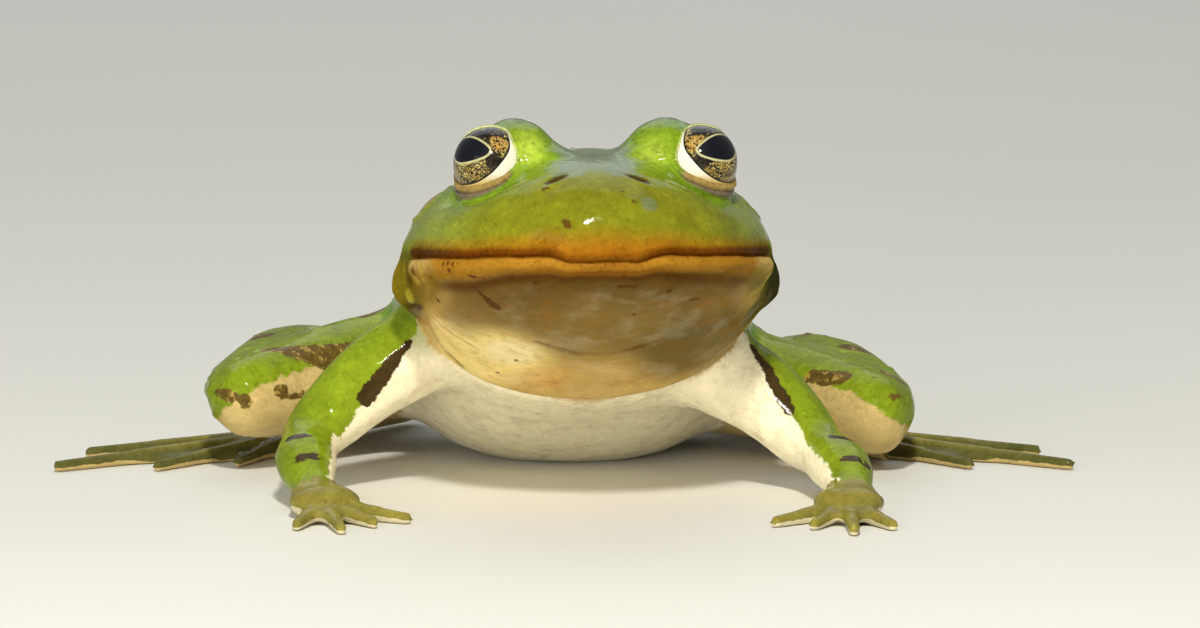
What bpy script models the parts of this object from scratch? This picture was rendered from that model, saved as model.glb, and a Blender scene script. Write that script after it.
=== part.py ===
"""A green water frog, life size, sitting with its head raised and its arms spread.

The frog faces -Y, its right side is at -X, and it rests on its belly, hands and feet at z = 0.
Its body is lofted as one form, blended with the brows over its eyes, and then parted by thin
cuts into head, lower jaw and trunk. Each limb is a chain of tapered tubes, cut back from what
it grows from. Lengths are in metres: MM turns a size in millimetres into them.
"""

import math
from typing import NamedTuple

import bmesh
import bpy
import numpy as np
from mathutils import Matrix, Vector

MM = 0.001
GAP = 0.35 * MM  # thin cut between one piece and the next

# ---- Head, in a frame of its own: origin between the jaw joints, y back, z up from the mouth line
JAW_JOINT = Vector((0, -18, 28.4)) * MM
HEAD_PITCH = math.radians(7.5)  # snout up
SNOUT = 30.3 * MM  # snout tip to the line of the jaw joints
JAW_HALF_WIDTH = 22.2 * MM
CROWN = 13.0 * MM  # skull's height over the mouth line
THROAT_DEPTH = 16.9 * MM  # at the neck, under the mouth line
NECK_Y = 5 * MM  # where the head is parted from the trunk
NECK_WAIST = 1.2 * MM  # how much narrower than the jaws the neck is

EYE_RADIUS = 4.45 * MM
EYE_CENTRE = Vector((12.3, -12.0, 11.0)) * MM
EYE_SHIFT = 0.48 * MM  # both eyes sit this far to the frog's left of where they would mirror
BROW_CENTRE = Vector((9.0, -9.6, 9.6)) * MM  # the fleshy mound that carries the eye
BROW_RADII = Vector((6.1, 6.6, 7.0)) * MM
SAC_CENTRE = Vector((20.1, 0.5, -3.0)) * MM  # folded vocal sac at the corner of the mouth
SAC_RADII = Vector((2.9, 5.2, 3.4)) * MM
EARDRUM_Y = -1.8 * MM
EARDRUM_HEIGHT = 6.4 * MM
EARDRUM_RADIUS = 2.9 * MM
EARDRUM_THICKNESS = 1.5 * MM
EARDRUM_INSET = 0.3 * MM


class Station(NamedTuple):
    """One section across the trunk, in millimetres."""

    y: float
    half_width: float
    side: float  # height of its widest level
    top: float
    bottom: float


TRUNK = (
    Station(-5.0, 19.6, 24.0, 39.4, 6.6),
    Station(3.0, 20.2, 20.0, 38.4, 2.0),
    Station(12.0, 21.4, 15.0, 36.4, -0.6),
    Station(21.0, 21.2, 13.0, 33.0, -0.8),
    Station(29.0, 18.0, 12.0, 27.8, -0.6),
    Station(37.0, 13.4, 11.0, 21.2, 0.2),
    Station(44.5, 8.4, 9.8, 15.0, 3.2),
    Station(49.0, 3.4, 9.2, 11.2, 6.4),
)


class Limbs(NamedTuple):
    """One side's joints, in millimetres, and which way its hand and foot point."""

    shoulder: tuple
    elbow: tuple
    wrist: tuple
    hand_heading: float  # degrees outward from straight ahead
    hip: tuple
    knee: tuple
    ankle: tuple
    toe_base: tuple
    foot_heading: float


SIDES = {
    -1: Limbs(
        shoulder=(-16.0, -7.5, 18.0),
        elbow=(-33.0, -13.5, 6.0),
        wrist=(-33.0, -31.0, 2.8),
        hand_heading=-18,
        hip=(-9.0, 35.0, 10.5),
        knee=(-39.4, 4.0, 9.0),
        ankle=(-18.0, 44.0, 6.0),
        toe_base=(-31.0, 26.0, 2.5),
        foot_heading=56,
    ),
    1: Limbs(
        shoulder=(13.3, -7.5, 15.2),
        elbow=(27.8, -17.5, 5.0),
        wrist=(30.5, -35.5, 2.8),
        hand_heading=-14,
        hip=(9.0, 34.5, 8.4),
        knee=(36.0, 0.5, 6.9),
        ankle=(19.0, 43.0, 5.0),
        toe_base=(30.5, 23.5, 2.5),
        foot_heading=50,
    ),
}
SIDE_NAMES = {-1: "right", 1: "left"}

# ---- Limb girths, as (half width, half height) in millimetres along each one
UPPER_ARM_GIRTH = ((6.2, 6.2), (5.2, 5.0), (3.9, 3.8))
FOREARM_GIRTH = ((3.4, 3.3), (3.9, 3.4), (2.5, 2.1))
THIGH_GIRTH = ((7.6, 7.0), (7.8, 6.6), (5.3, 5.3))
SHANK_GIRTH = ((4.4, 4.6), (5.2, 5.2), (2.9, 3.2))
TARSUS_GIRTH = ((2.8, 3.0), (2.4, 2.6), (2.7, 2.5))

PALM_RADII = (4.5, 5.0, 2.3)
FINGERS = ((-38, 9.5), (-12, 9.0), (12, 12.5), (36, 9.5))  # degrees outward, length
FINGER_RADII = (1.5, 1.25, 1.0, 0.85)
TOES = ((-44, 13.0), (-29, 19.0), (-14, 27.0), (0, 36.0), (15, 27.0))  # negative is inward
TOE_RADII = (1.6, 1.25, 1.05, 0.85)
SOLE_RADII = (3.4, 4.6, 2.3)
WEB_THICKNESS = 0.9
WEB_REACH = 0.86  # share of each toe that the web follows
WEB_SCALLOP = 0.16  # how far its edge draws in between two toes


def new_collection(name):
    """A collection of that name in the scene."""
    made = bpy.data.collections.new(name)
    bpy.context.scene.collection.children.link(made)
    return made


for old in list(bpy.data.objects):
    bpy.data.objects.remove(old)
PARTS = new_collection("frog")
CUTTERS = new_collection("cutters")


def head_to_world():
    """Matrix from the head's frame to the frog's."""
    return Matrix.Translation(JAW_JOINT) @ Matrix.Rotation(-HEAD_PITCH, 4, "X")


def mirrored(point, sign):
    """A point given for the side at +X, on the side that sign names."""
    return Vector((point[0] * sign, point[1], point[2]))


# ---------------------------------------------------------------- meshes and their operations


def face_outwards(bm):
    """Turns all faces of a closed bmesh to point outwards."""
    bmesh.ops.recalc_face_normals(bm, faces=bm.faces[:])
    if bm.calc_volume(signed=True) < 0:
        bmesh.ops.reverse_faces(bm, faces=bm.faces[:])


def new_object(name, bm, collection):
    """An object made of a closed bmesh."""
    face_outwards(bm)
    mesh = bpy.data.meshes.new(name)
    bm.to_mesh(mesh)
    bm.free()
    made = bpy.data.objects.new(name, mesh)
    collection.objects.link(made)
    return made


def loft(rings):
    """A closed bmesh through rings of equally many points, with flat ends."""
    bm = bmesh.new()
    loops = [[bm.verts.new(point) for point in ring] for ring in rings]
    count = len(loops[0])
    for first, second in zip(loops, loops[1:]):
        for k in range(count):
            after = (k + 1) % count
            bm.faces.new((first[k], first[after], second[after], second[k]))
    bm.faces.new(loops[0])
    bm.faces.new(loops[-1])
    return bm


def smooth_curve(knots, count):
    """Count samples of the Catmull-Rom curve through the knots, evenly spread over them."""
    knots = np.array(knots, float)
    padded = np.vstack([2 * knots[0] - knots[1], knots, 2 * knots[-1] - knots[-2]])
    samples = []
    for at in np.linspace(0, len(knots) - 1, count):
        i = min(int(at), len(knots) - 2)
        t = at - i
        before, start, end, after = padded[i : i + 4]
        samples.append(
            start
            + 0.5 * t * (end - before)
            + t * t * (before - 2.5 * start + 2 * end - 0.5 * after)
            + t**3 * (1.5 * (start - end) + 0.5 * (after - before))
        )
    return np.array(samples)


ROUND_END = ((0.55, 0.86), (0.9, 0.45))  # how far past a tube's end, and how wide, in girths


def tube(knots, girths, rings, sides, ends=(ROUND_END, ROUND_END)):
    """A closed tube along the curve through the knots, all in millimetres."""
    line = smooth_curve(knots, rings)
    girth = smooth_curve(girths, rings)
    tangents = np.gradient(line, axis=0)
    sections = []
    for k, (centre, (wide, high)) in enumerate(zip(line, girth)):
        ahead = Vector(tangents[k]).normalized()
        across = ahead.cross(Vector((0, 0, 1))).normalized()
        up = across.cross(ahead)
        steps = [(0.0, 1.0)]
        if k == 0:
            steps = [(-reach, size) for reach, size in reversed(ends[0])] + steps
        elif k == rings - 1:
            steps += ends[1]
        for reach, size in steps:
            middle = Vector(centre) + ahead * (reach * min(wide, high))
            sections.append(
                [
                    (
                        middle
                        + across * (wide * size * math.cos(2 * math.pi * j / sides))
                        + up * (high * size * math.sin(2 * math.pi * j / sides))
                    )
                    * MM
                    for j in range(sides)
                ]
            )
    return loft(sections)


def ball(centre, radii, turn=None, segments=20):
    """A closed ellipsoid bmesh, turned about its centre if turn is given."""
    bm = bmesh.new()
    bmesh.ops.create_uvsphere(bm, u_segments=segments, v_segments=segments * 2 // 3, radius=1)
    place = Matrix.Translation(centre) @ (turn or Matrix.Identity(4)) @ Matrix.Diagonal((*radii, 1))
    bm.transform(place)
    return bm


def baked(obj):
    """Applies obj's modifiers and returns it."""
    graph = bpy.context.evaluated_depsgraph_get()
    graph.update()
    mesh = bpy.data.meshes.new_from_object(obj.evaluated_get(graph))
    obj.modifiers.clear()
    obj.data = mesh
    return obj


def keep_largest(obj):
    """Removes every loose island of obj's mesh but the one with the most points."""
    bm = bmesh.new()
    bm.from_mesh(obj.data)
    left, islands = set(bm.verts), []
    while left:
        found, edge = set(), [left.pop()]
        while edge:
            vert = edge.pop()
            found.add(vert)
            near = {e.other_vert(vert) for e in vert.link_edges} & left
            left -= near
            edge.extend(near)
        islands.append(found)
    islands.sort(key=len)
    bmesh.ops.delete(bm, geom=[v for i in islands[:-1] for v in i], context="VERTS")
    bm.to_mesh(obj.data)
    bm.free()
    return obj


def grown_copy(obj, distance):
    """A copy of obj, pushed out along its normals, to cut others back from it."""
    bm = bmesh.new()
    bm.from_mesh(obj.data)
    bm.normal_update()
    for vert, normal in [(v, v.normal.copy()) for v in bm.verts]:
        vert.co += normal * distance
    return new_object(obj.name + "_grown", bm, CUTTERS)


def boolean(obj, other, operation):
    """Applies one exact Boolean to obj."""
    modifier = obj.modifiers.new(operation.lower(), "BOOLEAN")
    modifier.solver = "EXACT"
    modifier.operation = operation
    modifier.object = other
    return baked(obj)


def cut_back(obj, *neighbours):
    """Cuts obj back from its neighbours, so that a thin gap is left between them."""
    for other in neighbours:
        cutter = grown_copy(other, GAP)
        boolean(obj, cutter, "DIFFERENCE")
        bpy.data.objects.remove(cutter)
    return keep_largest(obj)


def joined(name, shapes):
    """One object that is the Boolean union of the shapes."""
    first = new_object(name, shapes[0], PARTS)
    for shape in shapes[1:]:
        other = new_object(name + "_added", shape, CUTTERS)
        boolean(first, other, "UNION")
        bpy.data.objects.remove(other)
    return first


def sliced(obj, point, normal):
    """Cuts off what lies beyond the plane, on the side its normal points to, and closes the cut."""
    bm = bmesh.new()
    bm.from_mesh(obj.data)
    bmesh.ops.bisect_plane(
        bm,
        geom=bm.verts[:] + bm.edges[:] + bm.faces[:],
        dist=1e-7,
        plane_co=point,
        plane_no=normal,
        clear_outer=True,
    )
    rim = [edge for edge in bm.edges if edge.is_boundary]
    bmesh.ops.triangle_fill(bm, use_beauty=True, edges=rim, normal=normal)
    face_outwards(bm)
    bm.to_mesh(obj.data)
    bm.free()
    return obj


def set_down(obj):
    """Gives obj a small flat where it would pass through the floor."""
    return sliced(obj, Vector((0, 0, 0)), Vector((0, 0, -1)))


def blended(obj, voxel, rounds, triangles):
    """Fuses obj's overlapping shapes into one soft form with about that many triangles."""
    remesh = obj.modifiers.new("fuse", "REMESH")
    remesh.mode = "VOXEL"
    remesh.voxel_size = voxel
    smooth = obj.modifiers.new("soften", "SMOOTH")
    smooth.factor = 0.5
    smooth.iterations = rounds
    baked(obj)
    thin = obj.modifiers.new("thin", "DECIMATE")
    thin.use_collapse_triangulate = True
    thin.ratio = min(1.0, triangles / (2 * len(obj.data.polygons)))
    return baked(obj)


def merged(name, shapes):
    """One object that holds all the shapes, still overlapping."""
    whole = bmesh.new()
    for shape in shapes:
        mesh = bpy.data.meshes.new("shape")
        shape.to_mesh(mesh)
        shape.free()
        whole.from_mesh(mesh)
        bpy.data.meshes.remove(mesh)
    return new_object(name, whole, PARTS)


# ---------------------------------------------------------------- head and trunk


def section(half_width, rise, drop, top_power, low_power, count=56):
    """Points (x, z) round a section, with z = 0 at its widest level."""
    points = []
    for k in range(count):
        c, s = math.cos(2 * math.pi * k / count), math.sin(2 * math.pi * k / count)
        reach, power = (rise, top_power) if s >= 0 else (drop, low_power)
        x = half_width * math.copysign(abs(c) ** (2 / power), c)
        z = math.copysign(reach * abs(s) ** (2 / power), s)
        points.append((x, z))
    return points


def head_section(y):
    """Half width, rise, drop and top power of the head's section at y, in the head's frame."""
    taper = 1 - (min(y, 0) / SNOUT) ** 2
    back = (y + SNOUT) / (SNOUT + NECK_Y)
    half_width = JAW_HALF_WIDTH * math.sqrt(taper) - NECK_WAIST * max(y, 0) / NECK_Y
    return half_width, CROWN * taper**0.33, THROAT_DEPTH * back**0.68, 2.3 - 0.6 * back


def head_rings(count=26):
    """Rings of the head from the snout to the neck, with the mouth line at their widest level."""
    rings = []
    for k in range(count):
        y = -0.997 * SNOUT + (SNOUT + NECK_Y) * (k / (count - 1)) ** 1.6
        outline = section(*head_section(y), 2.2)
        rings.append([head_to_world() @ Vector((x, y, z)) for x, z in outline])
    return rings


def trunk_rings(count=30):
    """Rings of the trunk from behind the neck to the vent."""
    rings = []
    for y, half_width, side, top, bottom in smooth_curve(TRUNK, count):
        outline = section(half_width, top - side, side - bottom, 2.25, 2.4)
        rings.append([Vector((x, y, side + z)) * MM for x, z in outline])
    return rings


def make_body():
    """Head, lower jaw and trunk: one blended form, parted at the neck and along the mouth."""
    to_world = head_to_world()
    shapes = [loft(head_rings() + trunk_rings())]
    for sign in SIDES:
        for centre, radii in ((BROW_CENTRE, BROW_RADII), (SAC_CENTRE, SAC_RADII)):
            shape = ball(mirrored(centre, sign), radii)
            shape.transform(to_world)
            shapes.append(shape)
    body = blended(merged("trunk", shapes), voxel=0.9 * MM, rounds=6, triangles=2200)
    neck = to_world @ Vector((0, NECK_Y, 0))
    mouth = to_world @ Vector((0, 0, 0))
    back, up = to_world.to_3x3().col[1], to_world.to_3x3().col[2]
    head = duplicate(body, "head")
    jaw = duplicate(body, "lower_jaw")
    sliced(body, neck + back * GAP, -back)
    for part in (head, jaw):
        sliced(part, neck, back)
    sliced(head, mouth, -up)
    sliced(jaw, mouth - up * GAP, up)
    return head, jaw, set_down(body)


def duplicate(obj, name):
    """A copy of obj with a mesh of its own."""
    copy = bpy.data.objects.new(name, obj.data.copy())
    PARTS.objects.link(copy)
    return copy


def make_eye(sign, head):
    """An eyeball, and its socket in the head."""
    centre = mirrored(EYE_CENTRE, sign) + Vector((EYE_SHIFT, 0, 0))
    shape = ball(centre, (EYE_RADIUS,) * 3, segments=16)
    shape.transform(head_to_world())
    eye = new_object("eye_" + SIDE_NAMES[sign], shape, PARTS)
    cut_back(head, eye)
    return eye


def make_eardrum(sign, head):
    """The round eardrum behind the eye, a shallow lens let into the head."""
    half_width, rise, _, power = head_section(EARDRUM_Y)
    level = EARDRUM_HEIGHT / rise
    x = half_width * (1 - level**power) ** (1 / power)
    slope = Vector(((x / half_width) ** (power - 1) / half_width, 0, level ** (power - 1) / rise))
    facing = mirrored(slope, sign).to_track_quat("Z", "Y").to_matrix().to_4x4()
    radii = (EARDRUM_RADIUS, EARDRUM_RADIUS, EARDRUM_THICKNESS / 2)
    centre = mirrored((x - EARDRUM_INSET, EARDRUM_Y, EARDRUM_HEIGHT), sign)
    shape = ball(centre, radii, facing, segments=10)
    shape.transform(head_to_world())
    drum = new_object("eardrum_" + SIDE_NAMES[sign], shape, PARTS)
    cut_back(head, drum)
    return drum


# ---------------------------------------------------------------- limbs


def heading(degrees, sign):
    """Level direction that many degrees outward from straight ahead."""
    turn = math.radians(degrees)
    return Vector((sign * math.sin(turn), -math.cos(turn), 0))


def arm_pieces(sign, joints, trunk, jaw):
    """Upper arm, forearm and hand of one side."""
    side = SIDE_NAMES[sign]
    shoulder, elbow, wrist = (Vector(p) for p in (joints.shoulder, joints.elbow, joints.wrist))
    bow = Vector((sign * 0.8, 0, 0.9))  # the flesh bulges up and out along the upper arm
    upper = new_object(
        "upper_arm_" + side,
        tube((shoulder, shoulder.lerp(elbow, 0.5) + bow, elbow), UPPER_ARM_GIRTH, 7, 12),
        PARTS,
    )
    cut_back(upper, trunk, jaw)
    forearm = new_object(
        "forearm_" + side,
        tube((elbow, elbow.lerp(wrist, 0.5) + bow * 0.5, wrist), FOREARM_GIRTH, 7, 10),
        PARTS,
    )
    cut_back(forearm, upper, trunk)
    hand = make_hand(sign, joints)
    cut_back(hand, forearm)
    return [set_down(piece) for piece in (upper, forearm, hand)]


def digit(base, direction, length, radii, sides=6):
    """A finger or toe that lies on the floor, with a small swelling at each joint."""
    knots = []
    for k in range(len(radii)):
        t = k / (len(radii) - 1)
        point = base + direction * (length * t)
        point.z = base.z * (1 - t) + (radii[-1] - 0.15) * t
        knots.append(point)
    return tube(knots, [(r, r) for r in radii], 4, sides, ends=((), ((0.6, 0.7),)))


def make_hand(sign, joints):
    """A hand with its four free fingers, spread on the floor."""
    wrist = Vector(joints.wrist)
    forward = heading(joints.hand_heading, sign)
    palm_centre = wrist + forward * 3.6
    palm_centre.z = 1.9
    turn = forward.to_track_quat("Y", "Z").to_matrix().to_4x4()
    shapes = [ball(palm_centre * MM, Vector(PALM_RADII) * MM, turn, segments=11)]
    for degrees, length in FINGERS:
        direction = heading(joints.hand_heading + degrees, sign)
        base = palm_centre + direction * 2.2
        base.z = 1.3
        shapes.append(digit(base, direction, length, FINGER_RADII))
    return joined("hand_" + SIDE_NAMES[sign], shapes)


def leg_pieces(sign, joints, trunk):
    """Thigh, shank and foot of one folded hind leg."""
    side = SIDE_NAMES[sign]
    hip, knee, ankle = (Vector(p) for p in (joints.hip, joints.knee, joints.ankle))
    thigh = new_object(
        "thigh_" + side,
        tube((hip, hip.lerp(knee, 0.5) + Vector((0, 0, 0.6)), knee), THIGH_GIRTH, 9, 13),
        PARTS,
    )
    cut_back(thigh, trunk)
    outward = heading(joints.foot_heading + 40, sign)
    bow = outward * 2.2 + Vector((0, 0, 2.6))  # the folded shank lies outside the thigh
    start = knee + outward * 1.5 + Vector((0, 2.0, 0.2))
    shank = new_object(
        "shank_" + side,
        tube((start, start.lerp(ankle, 0.5) + bow, ankle), SHANK_GIRTH, 9, 12),
        PARTS,
    )
    cut_back(shank, thigh, trunk)
    foot = make_foot(sign, joints)
    cut_back(foot, shank, thigh, trunk)
    return [set_down(piece) for piece in (thigh, shank, foot)]


def web_outline(base, toes):
    """Points round the web: in along the first toe's side, then from toe tip to toe tip."""
    tips = [base + direction * (length * WEB_REACH) for direction, length in toes]
    edge = [base]
    for first, second in zip(tips, tips[1:]):
        for k in range(5):
            t = k / 5
            drawn_in = WEB_SCALLOP * 4 * t * (1 - t)
            edge.append(first.lerp(second, t).lerp(base, drawn_in))
    edge.append(tips[-1])
    return edge


def make_web(base, toes):
    """The thin web that joins the toes."""
    bm = bmesh.new()
    outline = [Vector((point.x, point.y, 0)) * MM for point in web_outline(base, toes)]
    face = bm.faces.new([bm.verts.new(point) for point in outline])
    top = bmesh.ops.extrude_face_region(bm, geom=[face])
    raised = [v for v in top["geom"] if isinstance(v, bmesh.types.BMVert)]
    bmesh.ops.translate(bm, vec=(0, 0, WEB_THICKNESS * MM), verts=raised)
    return bm


def make_foot(sign, joints):
    """Tarsus, sole and five webbed toes, laid on the floor under the folded leg."""
    ankle, base = Vector(joints.ankle), Vector(joints.toe_base)
    forward = heading(joints.foot_heading, sign)
    turn = forward.to_track_quat("Y", "Z").to_matrix().to_4x4()
    sole = base + forward * 2.5
    sole.z = 1.7
    start = ankle.copy()
    start.z = 3.2
    middle = start.lerp(base, 0.5)
    shapes = [
        tube((start, middle, base), TARSUS_GIRTH, 5, 8),
        ball(sole * MM, Vector(SOLE_RADII) * MM, turn, segments=10),
    ]
    toes = []
    for degrees, length in TOES:
        direction = heading(joints.foot_heading + degrees, sign)
        toes.append((direction, length))
        start = base + direction * 1.5
        start.z = 1.4
        shapes.append(digit(start, direction, length, TOE_RADII))
    shapes.append(make_web(Vector((base.x, base.y, 0)), toes))
    return joined("foot_" + SIDE_NAMES[sign], shapes)


# ---------------------------------------------------------------- finish

FINISHES = {  # name starts with: colour, roughness
    "head": ((0.30, 0.42, 0.06, 1), 0.35),
    "trunk": ((0.30, 0.42, 0.06, 1), 0.35),
    "lower_jaw": ((0.72, 0.52, 0.20, 1), 0.4),
    "eardrum": ((0.36, 0.30, 0.08, 1), 0.35),
    "eye": ((0.35, 0.26, 0.06, 1), 0.08),
    "upper_arm": ((0.32, 0.45, 0.06, 1), 0.35),
    "forearm": ((0.30, 0.40, 0.07, 1), 0.35),
    "hand": ((0.42, 0.40, 0.14, 1), 0.4),
    "thigh": ((0.34, 0.44, 0.07, 1), 0.35),
    "shank": ((0.32, 0.40, 0.07, 1), 0.35),
    "foot": ((0.34, 0.30, 0.12, 1), 0.4),
}


def paint(obj):
    """Gives obj the Principled material that its name calls for."""
    key = next(k for k in FINISHES if obj.name.startswith(k))
    colour, roughness = FINISHES[key]
    material = bpy.data.materials.new(obj.name)
    material.use_nodes = True
    shader = material.node_tree.nodes["Principled BSDF"]
    shader.inputs["Base Color"].default_value = colour
    shader.inputs["Roughness"].default_value = roughness
    shader.inputs["Metallic"].default_value = 0.0
    obj.data.materials.clear()
    obj.data.materials.append(material)
    obj.data.shade_smooth()
    obj.data.set_sharp_from_angle(angle=math.radians(40))


def centre_on_origin(pieces):
    """Moves every piece so that the frog's box stands centred on the origin."""
    corners = [v.co for piece in pieces for v in piece.data.vertices]
    low = Vector([min(c[i] for c in corners) for i in range(3)])
    high = Vector([max(c[i] for c in corners) for i in range(3)])
    shift = Vector((-(low.x + high.x) / 2, -(low.y + high.y) / 2, -low.z))
    for piece in pieces:
        piece.data.transform(Matrix.Translation(shift))


def main():
    """Builds the frog."""
    head, lower_jaw, trunk = make_body()
    pieces = [head, lower_jaw, trunk]
    for sign, joints in SIDES.items():
        pieces.append(make_eye(sign, head))
        pieces.append(make_eardrum(sign, head))
        pieces += arm_pieces(sign, joints, trunk, lower_jaw)
        pieces += leg_pieces(sign, joints, trunk)
    centre_on_origin(pieces)
    for piece in pieces:
        paint(piece)


main()
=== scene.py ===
"""The looks of a green water frog: one skin over its solids, two eyes, soft studio light.

Lengths inside the classes are in millimetres; MM turns them into the scene's metres. Head points
are in the head's own frame: origin between the jaw joints, y back, z up from the mouth line, and
x is outward, so that one list serves both sides. Body points are in the frame in which the solids
were laid out, found again from the eyes and the jaw.
"""

import logging
import math
from dataclasses import dataclass, field
from enum import Enum

import bmesh
import bpy
import numpy as np
from mathutils import Matrix, Vector
from mathutils.bvhtree import BVHTree
from mathutils.kdtree import KDTree


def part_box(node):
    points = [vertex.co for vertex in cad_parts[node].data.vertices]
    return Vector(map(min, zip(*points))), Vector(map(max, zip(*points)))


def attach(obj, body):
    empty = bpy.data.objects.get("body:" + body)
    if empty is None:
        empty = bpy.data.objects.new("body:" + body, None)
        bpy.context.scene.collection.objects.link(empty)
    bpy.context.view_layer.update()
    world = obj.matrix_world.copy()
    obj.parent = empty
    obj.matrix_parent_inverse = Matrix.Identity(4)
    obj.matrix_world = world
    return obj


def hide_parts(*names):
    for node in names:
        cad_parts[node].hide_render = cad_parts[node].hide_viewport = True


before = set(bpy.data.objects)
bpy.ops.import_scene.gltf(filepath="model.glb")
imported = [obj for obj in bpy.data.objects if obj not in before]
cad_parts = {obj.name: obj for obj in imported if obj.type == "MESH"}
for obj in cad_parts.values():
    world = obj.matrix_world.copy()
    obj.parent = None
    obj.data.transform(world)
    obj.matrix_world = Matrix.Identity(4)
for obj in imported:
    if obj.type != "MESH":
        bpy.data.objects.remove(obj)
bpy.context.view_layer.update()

LOG = logging.getLogger("frog")
MM = 0.001

HEAD_PITCH = math.radians(7.5)  # how far the snout is raised
EYE_SPOT = (12.3, -12.0, 11.0)  # an eye's centre in the head's frame, as the solids were laid out
MARK_FLOAT = 1.6  # how far off the skin a mark's line may lie
MARK_REACH = 6.0  # how far from a mark's line its distances are taken along the skin
FAR = 9.0  # a distance at which no mark shows

Array = np.ndarray
Socket = bpy.types.NodeSocket
Triple = tuple[float, float, float]
Path = tuple[tuple[float, ...], ...]
Layer = tuple[Triple, Array]  # a colour, and how much of it shows at each point


class Side(Enum):
    """The frog's own right and left, as the sign of x."""

    RIGHT = -1
    LEFT = 1

    def named(self, part: str) -> str:
        """The name of this side's solid or piece."""
        return f"{part}_{self.name.lower()}"


class Shape(Enum):
    """What a stroke does to the skin."""

    RIDGE = 1
    GROOVE = -1


# ------------------------------------------------------------------------------ small helpers


def srgb(red: int, green: int, blue: int) -> Triple:
    """A colour given in screen values from 0 to 255, as linear light.

    Args:
        red: Red, 0 to 255.
        green: Green, 0 to 255.
        blue: Blue, 0 to 255.

    Returns:
        The three linear channels.
    """
    linear = []
    for channel in (red, green, blue):
        c = channel / 255
        linear.append(c / 12.92 if c <= 0.04045 else ((c + 0.055) / 1.055) ** 2.4)
    return tuple(linear)


def smoothstep(low: float, high: float, values: Array) -> Array:
    """A soft step from 0 at low to 1 at high.

    Args:
        low: Where the step starts; may be above high, which turns the step round.
        high: Where it ends.
        values: The numbers to step.

    Returns:
        The stepped numbers, 0 to 1.
    """
    t = np.clip((values - low) / (high - low), 0.0, 1.0)
    return t * t * (3 - 2 * t)


def bell(values: Array, centre: float, width: float) -> Array:
    """A bell curve of height 1.

    Args:
        values: Where to read the curve.
        centre: Where it peaks.
        width: How far from the peak it falls to a third.

    Returns:
        The curve at each value.
    """
    return np.exp(-(((values - centre) / width) ** 2))


def spread(points: Array, spot: tuple, shares: tuple = (1.0, 1.0, 1.0)) -> Array:
    """How far each point lies from a spot, with the three directions given their own shares."""
    return np.linalg.norm((points - spot) * shares, axis=1)


def path_distance(points: Array, path: Path | Array) -> tuple[Array, Array]:
    """How far each point lies from a path of straight runs.

    Args:
        points: Rows of two or three coordinates.
        path: Two or more points of as many coordinates.

    Returns:
        The distances, and how far along the path the nearest place lies, from 0 to 1.
    """
    knots = np.array(path, float)
    if len(knots) == 1:
        return np.linalg.norm(points - knots[0], axis=1), np.zeros(len(points))
    best = np.full(len(points), 1e9)
    along = np.zeros(len(points))
    for k, (start, end) in enumerate(zip(knots, knots[1:])):
        run = end - start
        t = np.clip((points - start) @ run / (run @ run), 0, 1)
        distance = np.linalg.norm(points - (start + t[:, None] * run), axis=1)
        closer = distance < best
        best[closer] = distance[closer]
        along[closer] = (k + t[closer]) / (len(knots) - 1)
    return best, along


def surface_distance(points: Array, normals: Array, path: Path) -> tuple[Array, Array]:
    """How far each point lies along the skin from a path that may float a little off it.

    Args:
        points: Rows of three coordinates.
        normals: The skin's normal at each.
        path: One or more points.

    Returns:
        The distances, and how far along the path the nearest place lies, from 0 to 1.
    """
    knots = np.array(path, float)
    distance, along = path_distance(points, path)
    near = distance < MARK_REACH
    if len(knots) == 1:
        offset = points[near] - knots[0]
    else:
        place = along[near] * (len(knots) - 1)
        ticks = np.arange(len(knots))
        nearest = np.column_stack([np.interp(place, ticks, knots[:, k]) for k in range(3)])
        offset = points[near] - nearest
    depth = np.clip(np.sum(offset * normals[near], axis=1), -MARK_FLOAT, MARK_FLOAT)
    distance[near] = np.linalg.norm(offset - normals[near] * depth[:, None], axis=1)
    return distance, along


def closed_outline_distance(points: Array, outline: Array) -> Array:
    """Signed distance in a plane from a closed outline.

    Args:
        points: Rows of two coordinates.
        outline: The corners of the outline, in order, one to a row.

    Returns:
        The distances, negative inside.
    """
    corners = np.vstack((outline, outline[:1]))
    distance, _ = path_distance(points, corners)
    inside = np.zeros(len(points), bool)
    for (x0, y0), (x1, y1) in zip(corners, corners[1:]):
        crosses = (y0 > points[:, 1]) != (y1 > points[:, 1])
        at = x0 + (points[:, 1] - y0) / (y1 - y0 + 1e-12) * (x1 - x0)
        inside ^= crosses & (points[:, 0] < at)
    return np.where(inside, -distance, distance)


def rounded(outline: Path | Array, rounds: int = 3) -> Array:
    """A closed outline with its corners cut off again and again.

    Args:
        outline: The corners, in order.
        rounds: How often each corner is cut.

    Returns:
        The smoother outline, one corner to a row.
    """
    corners = np.array(outline, float)
    for _ in range(rounds):
        ahead = np.roll(corners, -1, axis=0)
        cut = np.empty((2 * len(corners), corners.shape[1]))
        cut[0::2] = 0.75 * corners + 0.25 * ahead
        cut[1::2] = 0.25 * corners + 0.75 * ahead
        corners = cut
    return corners


def read_rows(data: bpy.types.bpy_prop_collection, name: str, width: int, kind: type) -> Array:
    """Reads what a mesh stores on its points or edges.

    Args:
        data: The mesh's points, edges or normals.
        name: What is read.
        width: How many numbers there are on each.
        kind: The kind of number.

    Returns:
        The numbers, one row each.
    """
    values = np.empty(len(data) * width, kind)
    data.foreach_get(name, values)
    return values.reshape(-1, width)


def placed(name: str, data: bpy.types.ID) -> bpy.types.Object:
    """Puts a mesh, a light or a camera into the scene.

    Args:
        name: The new object's name.
        data: What it shows.

    Returns:
        The object.
    """
    made = bpy.data.objects.new(name, data)
    bpy.context.scene.collection.objects.link(made)
    return made


# ------------------------------------------------------------------------------ frames


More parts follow.
